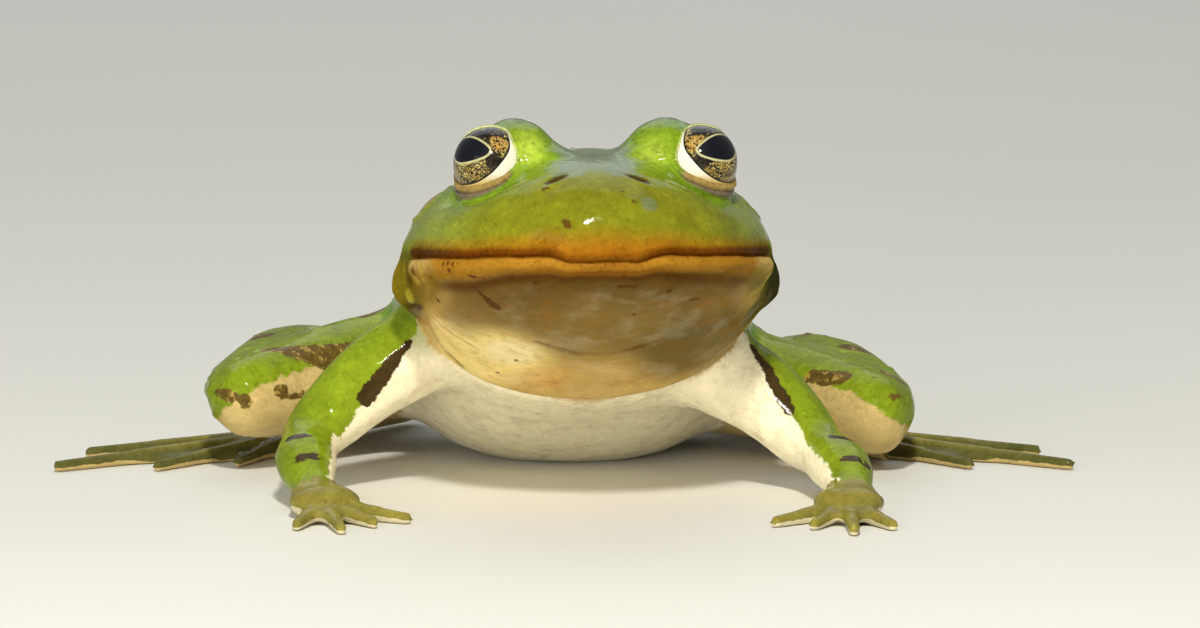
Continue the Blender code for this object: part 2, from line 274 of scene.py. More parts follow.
@dataclass(frozen=True)
class Frames:
    """Where the head and the body lie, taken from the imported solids.

    Attributes:
        origin: The point between the jaw joints, in millimetres.
        eyes: Each eye's centre, in millimetres.
        eye_radius: The eyeballs' radius, in millimetres.
    """

    origin: Array
    eyes: dict[Side, Array]
    eye_radius: float

    JAW_JOINT = (0.0, -18.0, 28.4)  # between the jaw joints, as the solids were laid out

    @classmethod
    def measured(cls) -> "Frames":
        """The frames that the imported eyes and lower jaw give.

        Returns:
            The frames.
        """
        eyes = {}
        for side in Side:
            low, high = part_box(side.named("eye"))
            eyes[side] = np.array((low + high) / 2) / MM
            radius = (high - low).x / 2 / MM
        low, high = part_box("lower_jaw")
        middle = (eyes[Side.LEFT] + eyes[Side.RIGHT]) / 2
        _, back, up = EYE_SPOT
        c, s = math.cos(HEAD_PITCH), math.sin(HEAD_PITCH)
        turned = (back * c + up * s, -back * s + up * c)
        across = (low.x + high.x) / 2 / MM
        origin = np.array((across, middle[1] - turned[0], middle[2] - turned[1]))
        return cls(origin, eyes, radius)

    def to_head(self, points: Array, vectors: bool = False) -> Array:
        """Points of the scene, in the head's frame.

        Args:
            points: Rows of x, y, z in millimetres.
            vectors: True for directions, which are only turned.

        Returns:
            The rows in the head's frame.
        """
        p = points if vectors else points - self.origin
        c, s = math.cos(HEAD_PITCH), math.sin(HEAD_PITCH)
        return np.column_stack((p[:, 0], p[:, 1] * c - p[:, 2] * s, p[:, 1] * s + p[:, 2] * c))

    def from_head(self, points: Array, vectors: bool = False) -> Array:
        """Points of the head's frame, in the scene.

        Args:
            points: Rows of x, y, z in millimetres.
            vectors: True for directions, which are only turned.

        Returns:
            The rows in the scene's frame.
        """
        c, s = math.cos(HEAD_PITCH), math.sin(HEAD_PITCH)
        y, z = points[:, 1], points[:, 2]
        turned = np.column_stack((points[:, 0], y * c + z * s, -y * s + z * c))
        return turned if vectors else turned + self.origin

    def to_body(self, points: Array) -> Array:
        """Points of the scene, in the frame in which the body was laid out.

        Args:
            points: Rows of x, y, z in millimetres.

        Returns:
            The rows in the body's frame.
        """
        return points - self.origin + np.array(self.JAW_JOINT)


# ------------------------------------------------------------------------------ node graphs


class Graph:
    """Builds one material's nodes, in an order that reads as the finish is made."""

    def __init__(self, name: str) -> None:
        """Starts an empty material.

        Args:
            name: The material's name.
        """
        self.material = bpy.data.materials.new(name)
        self.material.use_nodes = True
        self.tree = self.material.node_tree
        self.tree.nodes.clear()
        self.place = self.node("TexCoord").outputs["Object"]

    def node(self, kind: str) -> bpy.types.Node:
        """A new node of the material."""
        return self.tree.nodes.new("ShaderNode" + kind)

    def feed(self, socket: Socket, value: object) -> None:
        """Sets a socket, or links it.

        Args:
            socket: The input.
            value: A number, a colour of three, or another node's output.
        """
        if isinstance(value, Socket):
            self.tree.links.new(value, socket)
        elif isinstance(value, tuple) and len(value) == 3 and socket.type == "RGBA":
            socket.default_value = (*value, 1.0)
        else:
            socket.default_value = value

    def stored(self, attribute: str, output: str = "Fac") -> Socket:
        """A number or a colour stored on the piece's points.

        Args:
            attribute: Its name.
            output: Fac for a number, Color for a colour.

        Returns:
            The number or the colour.
        """
        node = self.node("Attribute")
        node.attribute_name = attribute
        return node.outputs[output]

    def math(self, operation: str, a: object, b: object = 0.0) -> Socket:
        """One sum.

        Args:
            operation: The Math node's operation.
            a: First number or output.
            b: Second number or output.

        Returns:
            The result.
        """
        node = self.node("Math")
        node.operation = operation
        self.feed(node.inputs[0], a)
        self.feed(node.inputs[1], b)
        return node.outputs[0]

    def plus(self, a: object, b: object) -> Socket:
        """Two numbers added."""
        return self.math("ADD", a, b)

    def minus(self, a: object, b: object) -> Socket:
        """One number taken from another."""
        return self.math("SUBTRACT", a, b)

    def times(self, a: object, b: object) -> Socket:
        """Two numbers multiplied."""
        return self.math("MULTIPLY", a, b)

    def swing(self, noise: Socket, width: float) -> Socket:
        """A noise made to swing about zero."""
        return self.times(self.minus(noise, 0.5), width)

    def step(self, value: object, low: float, high: float) -> Socket:
        """A soft step from 0 at low to 1 at high.

        Args:
            value: The number or output to step.
            low: Where the step starts.
            high: Where it ends.

        Returns:
            The stepped number.
        """
        node = self.node("MapRange")
        node.interpolation_type = "SMOOTHSTEP"
        self.feed(node.inputs["Value"], value)
        turned = low > high
        self.feed(node.inputs["From Min"], min(low, high))
        self.feed(node.inputs["From Max"], max(low, high))
        self.feed(node.inputs["To Min"], 1.0 if turned else 0.0)
        self.feed(node.inputs["To Max"], 0.0 if turned else 1.0)
        return node.outputs["Result"]

    def noise(
        self,
        size: float,
        detail: float,
        rough: float = 0.55,
        twist: float = 0.0,
        flat: float = 1.0,
    ) -> Socket:
        """Cloudy noise.

        Args:
            size: The width of a cloud in millimetres.
            detail: How many finer layers.
            rough: How strong those are.
            twist: How much the clouds are drawn about.
            flat: How many times wider than high the clouds are.

        Returns:
            The noise, about 0 to 1.
        """
        node = self.node("TexNoise")
        place = self.place
        if flat != 1.0:
            squeeze = self.node("Mapping")
            self.feed(squeeze.inputs["Vector"], place)
            squeeze.inputs["Scale"].default_value = (1.0, 1.0, flat)
            place = squeeze.outputs["Vector"]
        self.feed(node.inputs["Vector"], place)
        self.feed(node.inputs["Scale"], 1.0 / (size * MM))
        self.feed(node.inputs["Detail"], detail)
        self.feed(node.inputs["Roughness"], rough)
        self.feed(node.inputs["Distortion"], twist)
        return node.outputs["Fac"]

    def cells(self, size: float, feature: str) -> Socket:
        """Distances in a pattern of cells.

        Args:
            size: The width of a cell in millimetres.
            feature: The Voronoi feature, SMOOTH_F1 or DISTANCE_TO_EDGE.

        Returns:
            The distance, in cells.
        """
        node = self.node("TexVoronoi")
        node.feature = feature
        self.feed(node.inputs["Vector"], self.place)
        self.feed(node.inputs["Scale"], 1.0 / (size * MM))
        return node.outputs["Distance"]

    def mix(self, factor: object, below: object, above: object) -> Socket:
        """One colour laid over another.

        Args:
            factor: How much of the upper one shows.
            below: The lower colour.
            above: The upper colour.

        Returns:
            The mixed colour.
        """
        node = self.node("Mix")
        node.data_type = "RGBA"
        self.feed(node.inputs[0], factor)
        self.feed(node.inputs[6], below)
        self.feed(node.inputs[7], above)
        return node.outputs[2]

    def shaded(self, colour: object, amount: object) -> Socket:
        """A colour made lighter or darker by a number.

        Args:
            colour: The colour.
            amount: The number it is multiplied by.

        Returns:
            The changed colour.
        """
        node = self.node("VectorMath")
        node.operation = "SCALE"
        self.feed(node.inputs[0], colour)
        self.feed(node.inputs["Scale"], amount)
        return node.outputs[0]

    def bump(
        self, height: object, distance: float, strength: float = 1.0, under: object = None
    ) -> Socket:
        """Small relief.

        Args:
            height: The relief, 0 to 1.
            distance: What a height of 1 is, in millimetres.
            strength: How much of it shows.
            under: The relief it lies on.

        Returns:
            The bent normal.
        """
        node = self.node("Bump")
        self.feed(node.inputs["Strength"], strength)
        self.feed(node.inputs["Distance"], distance * MM)
        self.feed(node.inputs["Height"], height)
        if under is not None:
            self.feed(node.inputs["Normal"], under)
        return node.outputs["Normal"]

    def finish(self, sockets: dict[str, object]) -> bpy.types.Material:
        """Adds the shader and its output.

        Args:
            sockets: The Principled shader's inputs, by name.

        Returns:
            The material.
        """
        shader = self.node("BsdfPrincipled")
        for name, value in sockets.items():
            self.feed(shader.inputs[name], value)
        output = self.node("OutputMaterial")
        self.tree.links.new(shader.outputs[0], output.inputs["Surface"])
        return self.material


# ------------------------------------------------------------------------------ finishes


@dataclass(frozen=True)
class SkinFinish:
    """The colours of wet frog skin, some of them painted light and shade, and its grain."""

    green: tuple = srgb(104, 138, 30)
    snout_green: tuple = srgb(116, 118, 22)
    brow_green: tuple = srgb(112, 142, 24)
    # painted highlight on the inner side of each brow
    painted_brow_highlight: tuple = srgb(190, 208, 76)
    # painted reflection of a pale sky on the head's top
    crown_sky_reflection: tuple = srgb(112, 126, 98)
    cheek: tuple = srgb(126, 138, 46)
    lip_orange: tuple = srgb(154, 96, 18)
    # painted shade under the upper lip's overhang and in the mouth's groove
    lip_shade_brown: tuple = srgb(104, 56, 6)
    lower_lip: tuple = srgb(166, 118, 34)
    lip_shadow: tuple = srgb(88, 50, 12)
    throat: tuple = srgb(206, 172, 100)
    throat_shade: tuple = srgb(78, 52, 10)
    # painted shade on the middle of the throat
    throat_middle_shade: tuple = srgb(124, 102, 48)
    chest: tuple = srgb(250, 240, 204)
    belly: tuple = srgb(240, 232, 204)
    sac_olive: tuple = srgb(104, 98, 28)
    sac_rim: tuple = srgb(196, 178, 92)
    leg_green: tuple = srgb(122, 140, 28)
    leg_tan: tuple = srgb(190, 160, 84)
    foot_brown: tuple = srgb(138, 116, 58)
    web_olive: tuple = srgb(88, 88, 44)
    fold_gold: tuple = srgb(146, 122, 50)
    back_stripe: tuple = srgb(160, 178, 74)
    lid_cream: tuple = srgb(190, 190, 138)
    lid_gold: tuple = srgb(152, 128, 70)
    lid_lavender: tuple = srgb(116, 102, 82)
    mark_dark: tuple = srgb(42, 32, 18)
    mark_brown: tuple = srgb(78, 60, 28)
    mark_olive: tuple = srgb(142, 116, 48)
    # dirt, and painted shade in the right corner of the mouth
    dirt: tuple = srgb(82, 46, 18)
    # painted shade in the nostrils and in the corners of the mouth
    nostril: tuple = srgb(62, 44, 16)

    def material(self) -> bpy.types.Material:
        """The skin's material: tones stored on the piece, broken up by noise, under a wet coat.

        Returns:
            The material.
        """
        g = Graph("wet_skin")
        broad = g.noise(6.0, 4, 0.6)
        blotch = g.noise(2.2, 4, 0.65, 0.3)
        fine = g.noise(0.9, 4, 0.65)
        grain = g.stored("grain")
        granules = g.cells(0.55, "SMOOTH_F1")

        # Upper and under tones meet along a wavering edge.
        waver = g.swing(g.noise(1.6, 4, 0.6), 2.4)
        edge = g.plus(g.stored("edge"), g.times(waver, g.stored("ragged")))
        upper = g.shaded(g.stored("upper_tone", "Color"), g.plus(0.6, g.times(broad, 0.8)))
        upper = g.shaded(upper, g.plus(0.6, g.times(blotch, 0.8)))
        speckle = g.times(g.step(g.noise(0.7, 3, 0.7), 0.54, 0.66), 0.42)
        upper = g.mix(speckle, upper, g.shaded(upper, 0.5))
        pale = g.times(g.step(g.noise(0.9, 2, 0.6), 0.55, 0.7), 0.34)
        upper = g.mix(pale, upper, g.shaded(upper, 1.55))
        under = g.shaded(g.stored("under_tone", "Color"), g.plus(0.8, g.times(fine, 0.2)))
        under = g.shaded(under, g.plus(0.82, g.times(blotch, 0.4)))
        warm = g.times(g.step(g.noise(2.8, 5, 0.7, 0.5), 0.47, 0.66), g.stored("warm"))
        under = g.mix(warm, under, g.mix(0.34, under, self.lip_orange))
        milky = g.times(g.step(g.noise(4.6, 4, 0.55), 0.44, 0.74), g.stored("warm"))
        under = g.mix(g.times(milky, 0.16), under, self.chest)
        colour = g.mix(g.step(edge, -0.2, 0.2), under, upper)

        # Dark marks with ragged edges and paler marbling inside.
        wobble = g.swing(g.noise(1.1, 5, 0.65), 1.5)
        reach = g.plus(g.stored("mark"), wobble)
        inside = g.step(reach, 0.12, -0.1)
        marbling = g.step(g.noise(1.3, 4, 0.7, 0.6), 0.53, 0.62)
        marbling = g.times(marbling, g.stored("marbled"))
        mottled = g.mix(g.stored("marbled"), self.mark_brown, self.mark_olive)
        marked = g.mix(marbling, g.mix(fine, self.mark_dark, mottled), self.leg_tan)
        colour = g.mix(inside, colour, marked)

        # Fine dark flecks on the lips.
        flecks = g.times(g.step(g.noise(0.5, 4, 0.75, 0.3), 0.52, 0.64), g.stored("lip"))
        colour = g.mix(flecks, colour, g.shaded(colour, 0.42))

        # Dirt, and the painted shade in the right corner of the mouth.
        dirt_and_shade_edge = g.swing(g.noise(0.42, 4, 0.75), 1.4)
        dirt_and_shade_edge = g.plus(g.stored("dirt"), dirt_and_shade_edge)
        colour = g.mix(g.times(g.step(dirt_and_shade_edge, 0.18, -0.14), 0.85), colour, self.dirt)
        # Painted shade in the hollows between the granules.
        granule_shade = g.times(g.step(granules, 0.4, 0.62), g.times(grain, 0.45))
        colour = g.mix(granule_shade, colour, g.shaded(colour, 0.5))

        height = g.times(g.minus(1.0, granules), grain)
        height = g.plus(height, g.times(fine, 0.6))
        film = g.bump(height, 0.035)
        normal = g.bump(height, 0.12)
        lines = g.times(g.noise(2.6, 5, 0.62, 0.9, 2.6), g.stored("slack"))
        normal = g.bump(lines, 0.6, 0.9, normal)
        return g.finish(
            {
                "Base Color": colour,
                "Roughness": g.plus(0.42, g.times(fine, 0.2)),
                "Normal": normal,
                "IOR": 1.3,
                "Specular IOR Level": 0.0,
                "Subsurface Weight": 0.08,
                "Subsurface Radius": (1.0, 0.6, 0.25),
                "Subsurface Scale": 0.0012,
                "Coat Weight": g.times(g.stored("wet"), 0.85),
                "Coat Roughness": 0.07,
                "Coat IOR": 1.24,
                "Coat Normal": film,
            }
        )


@dataclass(frozen=True)
class EyeFinish:
    """The colours of the eyeball."""

    pupil: tuple = srgb(8, 10, 20)
    ring: tuple = srgb(198, 196, 150)
    ring_dark: tuple = srgb(140, 134, 92)
    gold: tuple = srgb(142, 118, 48)
    pale_gold: tuple = srgb(186, 166, 96)
    orange: tuple = srgb(168, 116, 40)
    black: tuple = srgb(14, 12, 12)
    white: tuple = srgb(226, 222, 206)
    cream: tuple = srgb(206, 184, 120)

    def material(self) -> bpy.types.Material:
        """The eye's material: pupil, ring, flecked iris and white membrane under a wet coat.

        Returns:
            The material.
        """
        g = Graph("eye")
        across, up = g.stored("across"), g.stored("up")
        pupil, iris = g.stored("pupil"), g.stored("iris")
        flecks = g.noise(0.46, 5, 0.75, 0.4)
        fine = g.noise(0.2, 4, 0.7, 0.6)
        net = g.cells(0.36, "DISTANCE_TO_EDGE")
        worn = g.minus(g.noise(0.5, 4, 0.7), 0.5)

        # Lower iris: gold under a black net. Upper iris: black with gold flecks near its rim.
        gold = g.mix(g.step(g.noise(0.9, 4, 0.6), 0.4, 0.65), self.gold, self.pale_gold)
        webbed = g.plus(net, g.swing(flecks, 0.55))
        lower = g.mix(g.step(webbed, 0.2, 0.05), gold, self.black)
        near_rim = g.times(g.step(iris, -1.5, -0.3), 0.1)
        upper = g.mix(g.step(g.plus(flecks, near_rim), 0.58, 0.66), self.black, self.pale_gold)
        colour = g.mix(g.step(g.plus(up, worn), 0.3, 0.9), lower, upper)

        # An orange-gold patch lies between the pupil and the inner edge, a dark sector below it.
        along = g.times(g.minus(across, 2.75), 0.85)
        above = g.minus(up, 1.5)
        near = g.math("SQRT", g.plus(g.math("POWER", along, 2.0), g.math("POWER", above, 2.0)))
        near = g.plus(near, g.times(worn, 1.6))
        glow = g.mix(g.step(fine, 0.42, 0.6), self.orange, self.pale_gold)
        glow = g.mix(g.step(flecks, 0.52, 0.44), glow, self.black)
        colour = g.mix(g.step(near, 1.3, 0.75), colour, glow)
        sector = g.plus(g.times(across, 0.62), g.times(up, 0.78))
        sector = g.minus(g.plus(sector, g.times(worn, 0.5)), 0.75)
        below = g.times(g.step(up, 0.35, -0.05), g.step(across, 1.2, 1.7))
        dark = g.times(g.step(g.math("ABSOLUTE", sector), 1.3, 0.85), below)
        colour = g.mix(g.times(dark, 0.92), colour, self.black)

        colour = g.mix(g.step(iris, -0.3, -0.16), colour, self.black)
        ring = g.mix(g.noise(0.8, 3, 0.6), self.ring, self.ring_dark)
        edge = g.plus(pupil, g.times(worn, 0.22))
        colour = g.mix(g.step(edge, 0.34, 0.22), colour, ring)
        colour = g.mix(g.step(pupil, 0.05, 0.0), colour, self.pupil)
        membrane = g.mix(g.step(up, -2.4, -3.8), self.white, self.cream)
        colour = g.mix(g.step(iris, -0.04, 0.03), colour, membrane)
        return g.finish(
            {
                "Base Color": colour,
                "Roughness": 0.5,
                "IOR": 1.15,
                "Coat Weight": 1.0,
                "Coat Roughness": 0.03,
                "Coat IOR": 1.36,
                "Normal": g.bump(flecks, 0.02, 0.4),
            }
        )


@dataclass(frozen=True)
class FloorFinish:
    """A plain pale floor."""

    colour: tuple = srgb(228, 228, 222)

    def material(self) -> bpy.types.Material:
        """The floor's material, matt and faintly clouded.

        Returns:
            The material.
        """
        g = Graph("floor")
        cloud = g.plus(0.97, g.times(g.noise(180.0, 2), 0.06))
        return g.finish({"Base Color": g.shaded(self.colour, cloud), "Roughness": 0.75})


# ------------------------------------------------------------------------------ eyes and lids


@dataclass(frozen=True)
class EyeSocket:
    """One eye's place, and the opening between its lids, in the head's frame.

    Attributes:
        side: Which side of the frog.
        centre: The eyeball's centre.
        radius: Its radius.
    """

    side: Side
    centre: Array
    radius: float

    LOOK = (42.0, 22.0)  # the opening's middle, degrees outward and up
    MARGIN = (  # the lids' edge, degrees outward and up, from the top inner corner round
        (-38, 79), (-52, 67), (-46.5, 54), (-43, 45), (-40, 36), (-39, 27), (-40.5, 16), (-40.5, 6),
        (-38, -2), (-33, -9.5), (-26, -15), (-15, -20.3), (-2, -25.6), (13, -31.2), (33, -34.8),
        (60, -36), (84, -32), (103, -22), (116, -6), (121, 12), (116, 32), (102, 50), (78, 67),
        (40, 79), (0, 84),
    )

    def direction(self, outward: float, up: float) -> Array:
        """The way from the eye that lies so far outward and up.

        Args:
            outward: Degrees outward from straight ahead.
            up: Degrees up.

        Returns:
            A unit vector.
        """
        a, e = math.radians(outward), math.radians(up)
        x = self.side.value * math.sin(a) * math.cos(e)
        return np.array((x, -math.cos(a) * math.cos(e), math.sin(e)))

    def axes(self, look: tuple[float, float]) -> tuple[Array, Array, Array]:
        """Three axes of an eye that looks a given way.

        Args:
            look: Degrees outward and up.

        Returns:
            The axis it looks along, the one toward the frog's middle, and the one up.
        """
        ahead = self.direction(*look)
        a = math.radians(look[0])
        inward = np.array((-self.side.value * math.cos(a), -math.sin(a), 0.0))
        up = np.cross(ahead, inward)
        return ahead, inward, up * np.sign(up[2])

    def polar(self, rays: Array, look: tuple[float, float]) -> tuple[Array, Array]:
        """Unit rays as angles about the way the eye looks.

        Args:
            rays: Rows of unit vectors from the eye's centre.
            look: Degrees outward and up.

        Returns:
            The angle from the axis, and the angle round it from the inward side through up.
        """
        ahead, inward, up = self.axes(look)
        away = np.arccos(np.clip(rays @ ahead, -1, 1))
        return away, np.arctan2(rays @ up, rays @ inward)

    def low_side(self, turn: Array) -> Array:
        """How far round to the lower lid each angle lies, 0 to 1."""
        return smoothstep(0.1, -0.4, np.sin(turn))

    def margin(self) -> Array:
        """The lids' edge, closed, with its corners rounded.

        Returns:
            Rows of unit vectors from the eye's centre.
        """
        corners = np.array([self.direction(*m) for m in self.MARGIN])
        corners = rounded(corners, 2)
        corners /= np.linalg.norm(corners, axis=1)[:, None]
        return np.vstack((corners, corners[:1]))

    def lid_distance(self, rays: Array) -> tuple[Array, Array]:
        """How far outside the lids' edge each ray meets the eyeball.

        Args:
            rays: Rows of unit vectors from the eye's centre.

        Returns:
            Millimetres from the edge, negative in the opening, and the angle round it.
        """
        corners = self.margin()
        distance, _ = path_distance(rays, corners)
        away, turn = self.polar(corners[:-1], self.LOOK)
        order = np.argsort(turn)
        ray_away, ray_turn = self.polar(rays, self.LOOK)
        opening = np.interp(ray_turn, turn[order], away[order], period=2 * math.pi)
        return np.where(ray_away < opening, -distance, distance) * self.radius, ray_turn

    def skin_distance(self, offsets: Array) -> Array:
        """How far points of the skin lie from the lids' edge, straight through space.

        Args:
            offsets: Rows from the eye's centre.

        Returns:
            The distances in millimetres.
        """
        edge = self.margin() * (self.radius + 0.22)
        return path_distance(offsets, edge)[0]


@dataclass
class Eyes:
    """The two eyeballs, whose pattern follows the way each one looks."""

    frames: Frames
    finish: EyeFinish = field(default_factory=EyeFinish)
    gaze: tuple[float, float] = (30.0, 18.0)  # degrees outward and up
    inset: float = 0.02  # how far the eyeball stays inside its solid
    cornea: float = 0.1  # how far the clear front stands out
    glance: float = 0.42  # how far both pupils are turned to the frog's right
    pupil: Path = (
        (-3.68, 0.55), (-3.58, 1.61), (-2.77, 2.2), (-1.07, 2.15), (0.17, 1.75), (1.05, 1.28),
        (1.75, 0.85), (2.27, 0.4), (2.12, -0.12), (1.57, -0.55), (0.53, -0.94), (-0.57, -1.12),
        (-1.6, -1.12), (-2.75, -0.62),
    )
    iris: Path = (
        (1.53, 5.96), (3.01, 4.45), (3.86, 2.98), (4.23, 1.64), (4.15, 0.58), (3.77, -0.38),
        (3.24, -1.3), (2.54, -2.22), (1.6, -2.98), (0.44, -3.62), (-1.08, -4.02), (-2.97, -4.02),
        (-5.5, -3.9), (-7.9, -2.0), (-8.2, 2.5), (-6.0, 6.4), (-2.0, 7.4), (0.4, 7.0),
    )

    def build(self) -> list[bpy.types.Object]:
        """Makes both eyeballs.

        Returns:
            The two pieces.
        """
        material = self.finish.material()
        return [self.eyeball(side, material) for side in Side]

    def eyeball(self, side: Side, material: bpy.types.Material) -> bpy.types.Object:
        """Makes one eyeball in the place of its solid.

        Args:
            side: Which eye.
            material: Its finish.

        Returns:
            The piece.
        """
        radius = self.frames.eye_radius
        centre = self.frames.eyes[side]
        socket = EyeSocket(side, self.frames.to_head(centre[None])[0], radius)
        bm = bmesh.new()
        bmesh.ops.create_icosphere(bm, subdivisions=6, radius=1.0)
        for face in bm.faces:
            face.smooth = True
        mesh = bpy.data.meshes.new(side.named("eyeball"))
        bm.to_mesh(mesh)
        bm.free()
        rays = read_rows(mesh.vertices, "co", 3, float)
        rays /= np.linalg.norm(rays, axis=1)[:, None]
        away, turn = socket.polar(self.frames.to_head(rays, vectors=True), self.gaze)
        spots = np.column_stack((away * radius * np.cos(turn), away * radius * np.sin(turn)))
        turned = np.array((self.glance * side.value, 0.0))
        fields = {
            "across": spots[:, 0],
            "up": spots[:, 1],
            "pupil": closed_outline_distance(spots - turned, rounded(self.pupil)),
            "iris": closed_outline_distance(spots, rounded(self.iris)),
        }
        out = radius - self.inset + self.cornea * smoothstep(1.05, 0.5, away)
        points = (centre + rays * out[:, None]) * MM
        mesh.vertices.foreach_set("co", points.ravel())
        for name, values in fields.items():
            store(mesh, name, values)
        mesh.materials.append(material)
        mesh.update()
        piece = placed(mesh.name, mesh)
        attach(piece, "root")
        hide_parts(side.named("eye"))
        return piece


def store(mesh: bpy.types.Mesh, name: str, values: Array) -> None:
    """Stores one number, or one colour, on each point of a mesh.

    Args:
        mesh: The mesh.
        name: The attribute's name.
        values: One number a point, or rows of three.
    """
    if values.ndim == 1:
        made = mesh.attributes.new(name, "FLOAT", "POINT")
        made.data.foreach_set("value", values.astype(np.float32))
        return
    made = mesh.attributes.new(name, "FLOAT_COLOR", "POINT")
    rows = np.column_stack((values, np.ones(len(values)))).astype(np.float32)
    made.data.foreach_set("color", rows.ravel())


# ------------------------------------------------------------------------------ skin


@dataclass(frozen=True)
class Stroke:
    """A narrow ridge or groove drawn on the skin.

    Attributes:
        shape: Ridge or groove.
        path: Its line, in millimetres.
        depth: How far it stands out or sinks in.
        width: Its half width.
    """

    shape: Shape
    path: Path
    depth: float
    width: float


@dataclass(frozen=True)
class Mark:
    """A dark mark or a bit of dirt on the skin.

    Attributes:
        path: Its line, or one point.
        radii: Its half width at the line's start and end.
    """

    path: Path
    radii: tuple[float, float]


def ridge(depth: float, width: float, *path: Triple) -> Stroke:
    """A ridge through the given points."""
    return Stroke(Shape.RIDGE, path, depth, width)


def groove(depth: float, width: float, *path: Triple) -> Stroke:
    """A groove through the given points."""
    return Stroke(Shape.GROOVE, path, depth, width)


def mark(start: float, end: float, *path: Triple) -> Mark:
    """A mark through the given points, with its half widths at both ends."""
    return Mark(path, (start, end))


@dataclass(frozen=True)
class Tint:
    """A soft patch of colour on the skin.

    Attributes:
        colour: Its colour.
        centre: Its middle, in the head's frame, x to the frog's left.
        radii: How far it reaches across, back and up.
        amount: How much of it shows.
    """

    colour: Triple
    centre: Triple
    radii: Triple
    amount: float

    def cover(self, points: Array) -> Array:
        """How much of the patch shows at each point."""
        distance = np.linalg.norm((points - self.centre) / np.array(self.radii), axis=1)
        return self.amount * smoothstep(1.0, 0.45, distance)


NOSTRIL = ((5.8, -23.8, 8.6), (4.8, -23.4, 9.05), (3.7, -22.85, 9.6))

HEAD_STROKES = (  # both sides, x outward
    groove(0.4, 0.5, *NOSTRIL),
    ridge(0.22, 0.5, (6.9, -24.6, 7.4), (5.1, -24.5, 8.1), (3.3, -23.8, 8.8)),
    ridge(0.18, 0.5, (5.9, -22.6, 9.7), (4.4, -21.9, 10.4)),
    groove(0.5, 0.4, (21.5, -7.4, 0.0), (21.7, -6.6, -1.9), (21.0, -7.4, -4.0), (19.8, -9.6, -5.8)),
    # Folds of the vocal sac, behind the corner of the mouth.
    ridge(0.36, 0.6, (22.2, -4.4, -0.4), (22.6, -4.0, -3.2), (21.4, -4.6, -6.0)),
    groove(0.4, 0.4, (22.4, -2.4, 0.2), (23.0, -2.0, -3.0), (21.8, -2.4, -6.4)),
    ridge(0.3, 0.55, (22.4, -0.6, 0.0), (23.0, 0.0, -3.0), (22.0, -0.4, -6.2)),
    groove(0.3, 0.4, (22.0, 1.6, 0.4), (22.8, 2.0, -3.0), (21.8, 1.4, -6.4)),
    groove(0.6, 0.5, (20.2, -8.4, -6.4), (21.2, -3.0, -6.9), (21.0, 2.0, -7.2)),
    # Slack skin hangs in folds under the corner of the jaw.
    groove(0.3, 0.4, (19.0, -9.6, -7.2), (17.8, -7.6, -10.0), (15.6, -5.2, -12.4)),
    groove(0.3, 0.4, (19.9, -5.6, -8.0), (18.6, -3.4, -10.8), (16.4, -1.4, -13.0)),
    ridge(0.25, 0.6, (19.5, -7.4, -7.8), (18.2, -5.4, -10.4), (16.0, -3.2, -12.8)),
    # A pale ridge runs down from behind the eye.
    ridge(0.24, 0.35, (16.9, -9.4, 7.9), (17.5, -9.4, 6.6), (18.1, -9.6, 4.9)),
)

# The lip turns down round the left corner of the mouth.
LIP_RIM = (
    (19.4, -13.2, -0.6), (21.0, -9.0, -1.1), (21.2, -7.8, -2.2), (20.4, -9.3, -3.4),
    (18.9, -12.0, -4.4),
)

FACE_STROKES = (  # as they lie, x to the frog's left
    ridge(0.42, 0.5, *LIP_RIM),
    ridge(0.3, 0.7, (3.8, -28.0, 6.2), (4.4, -27.8, 6.4)),
    groove(0.45, 0.34, (-6.6, -12.9, -9.9), (-1.6, -10.3, -11.4), (2.5, -10.0, -11.5), (7.6, -12.5, -9.9)),
    ridge(0.3, 0.55, (-6.6, -12.2, -10.5), (-1.6, -9.6, -12.0), (2.5, -9.3, -12.1), (7.6, -11.8, -10.5)),
    ridge(0.14, 0.2, (-7.4, -22.0, -5.6), (-0.9, -22.3, -6.1), (6.2, -22.1, -5.8)),
    groove(0.1, 0.22, (-12.0, -17.0, -7.4), (-5.0, -19.0, -8.1), (3.0, -19.0, -8.2)),
    groove(0.12, 0.25, (9.0, -18.0, -7.4), (13.0, -14.0, -8.2), (16.5, -8.0, -8.0)),
    # The right corner of the mouth breaks up into lobes.
    groove(0.7, 0.34, (-21.7, -5.6, 0.2), (-21.7, -5.2, -1.6), (-21.6, -4.4, -3.4)),
    groove(0.5, 0.3, (-20.7, -10.4, -1.0), (-20.9, -9.7, -2.2)),
    ridge(0.5, 0.5, (-20.0, -12.2, -1.4), (-19.7, -12.2, -2.6), (-20.1, -10.4, -3.8)),
    groove(0.4, 0.32, (-19.0, -14.2, -2.2), (-18.8, -13.6, -3.2), (-19.3, -11.6, -4.4)),
    ridge(0.55, 0.5, (-21.2, -4.9, -3.7), (-21.0, -4.6, -5.0)),
    groove(0.65, 0.32, (-21.8, -1.6, -5.5), (-20.7, -3.2, -5.9), (-19.9, -6.2, -5.9), (-19.4, -5.2, -6.9)),
    # Folds fan out over the throat from there.
    groove(0.55, 0.36, (-19.4, -5.0, -7.0), (-18.6, -2.6, -8.5), (-17.3, 1.4, -10.3), (-14.6, 2.6, -12.7)),
    groove(0.26, 0.28, (-19.0, -6.2, -7.0), (-17.4, -4.6, -9.2), (-15.2, -1.8, -11.4)),
    groove(0.2, 0.28, (-18.6, -7.2, -6.9), (-16.4, -7.0, -8.6), (-13.6, -6.4, -10.6)),
    groove(0.1, 0.25, (-17.6, -9.2, -6.8), (-15.0, -10.6, -8.0), (-12.0, -11.6, -9.2)),
    # The chin's middle: two soft pads meet at the front of the lower lip.
    ridge(0.16, 0.3, (-5.0, -27.4, -1.5), (-3.4, -27.9, -2.0), (-0.6, -28.4, -2.2)),
    ridge(0.16, 0.3, (6.6, -27.2, -1.4), (4.6, -27.8, -2.0), (1.6, -28.4, -2.2)),
)

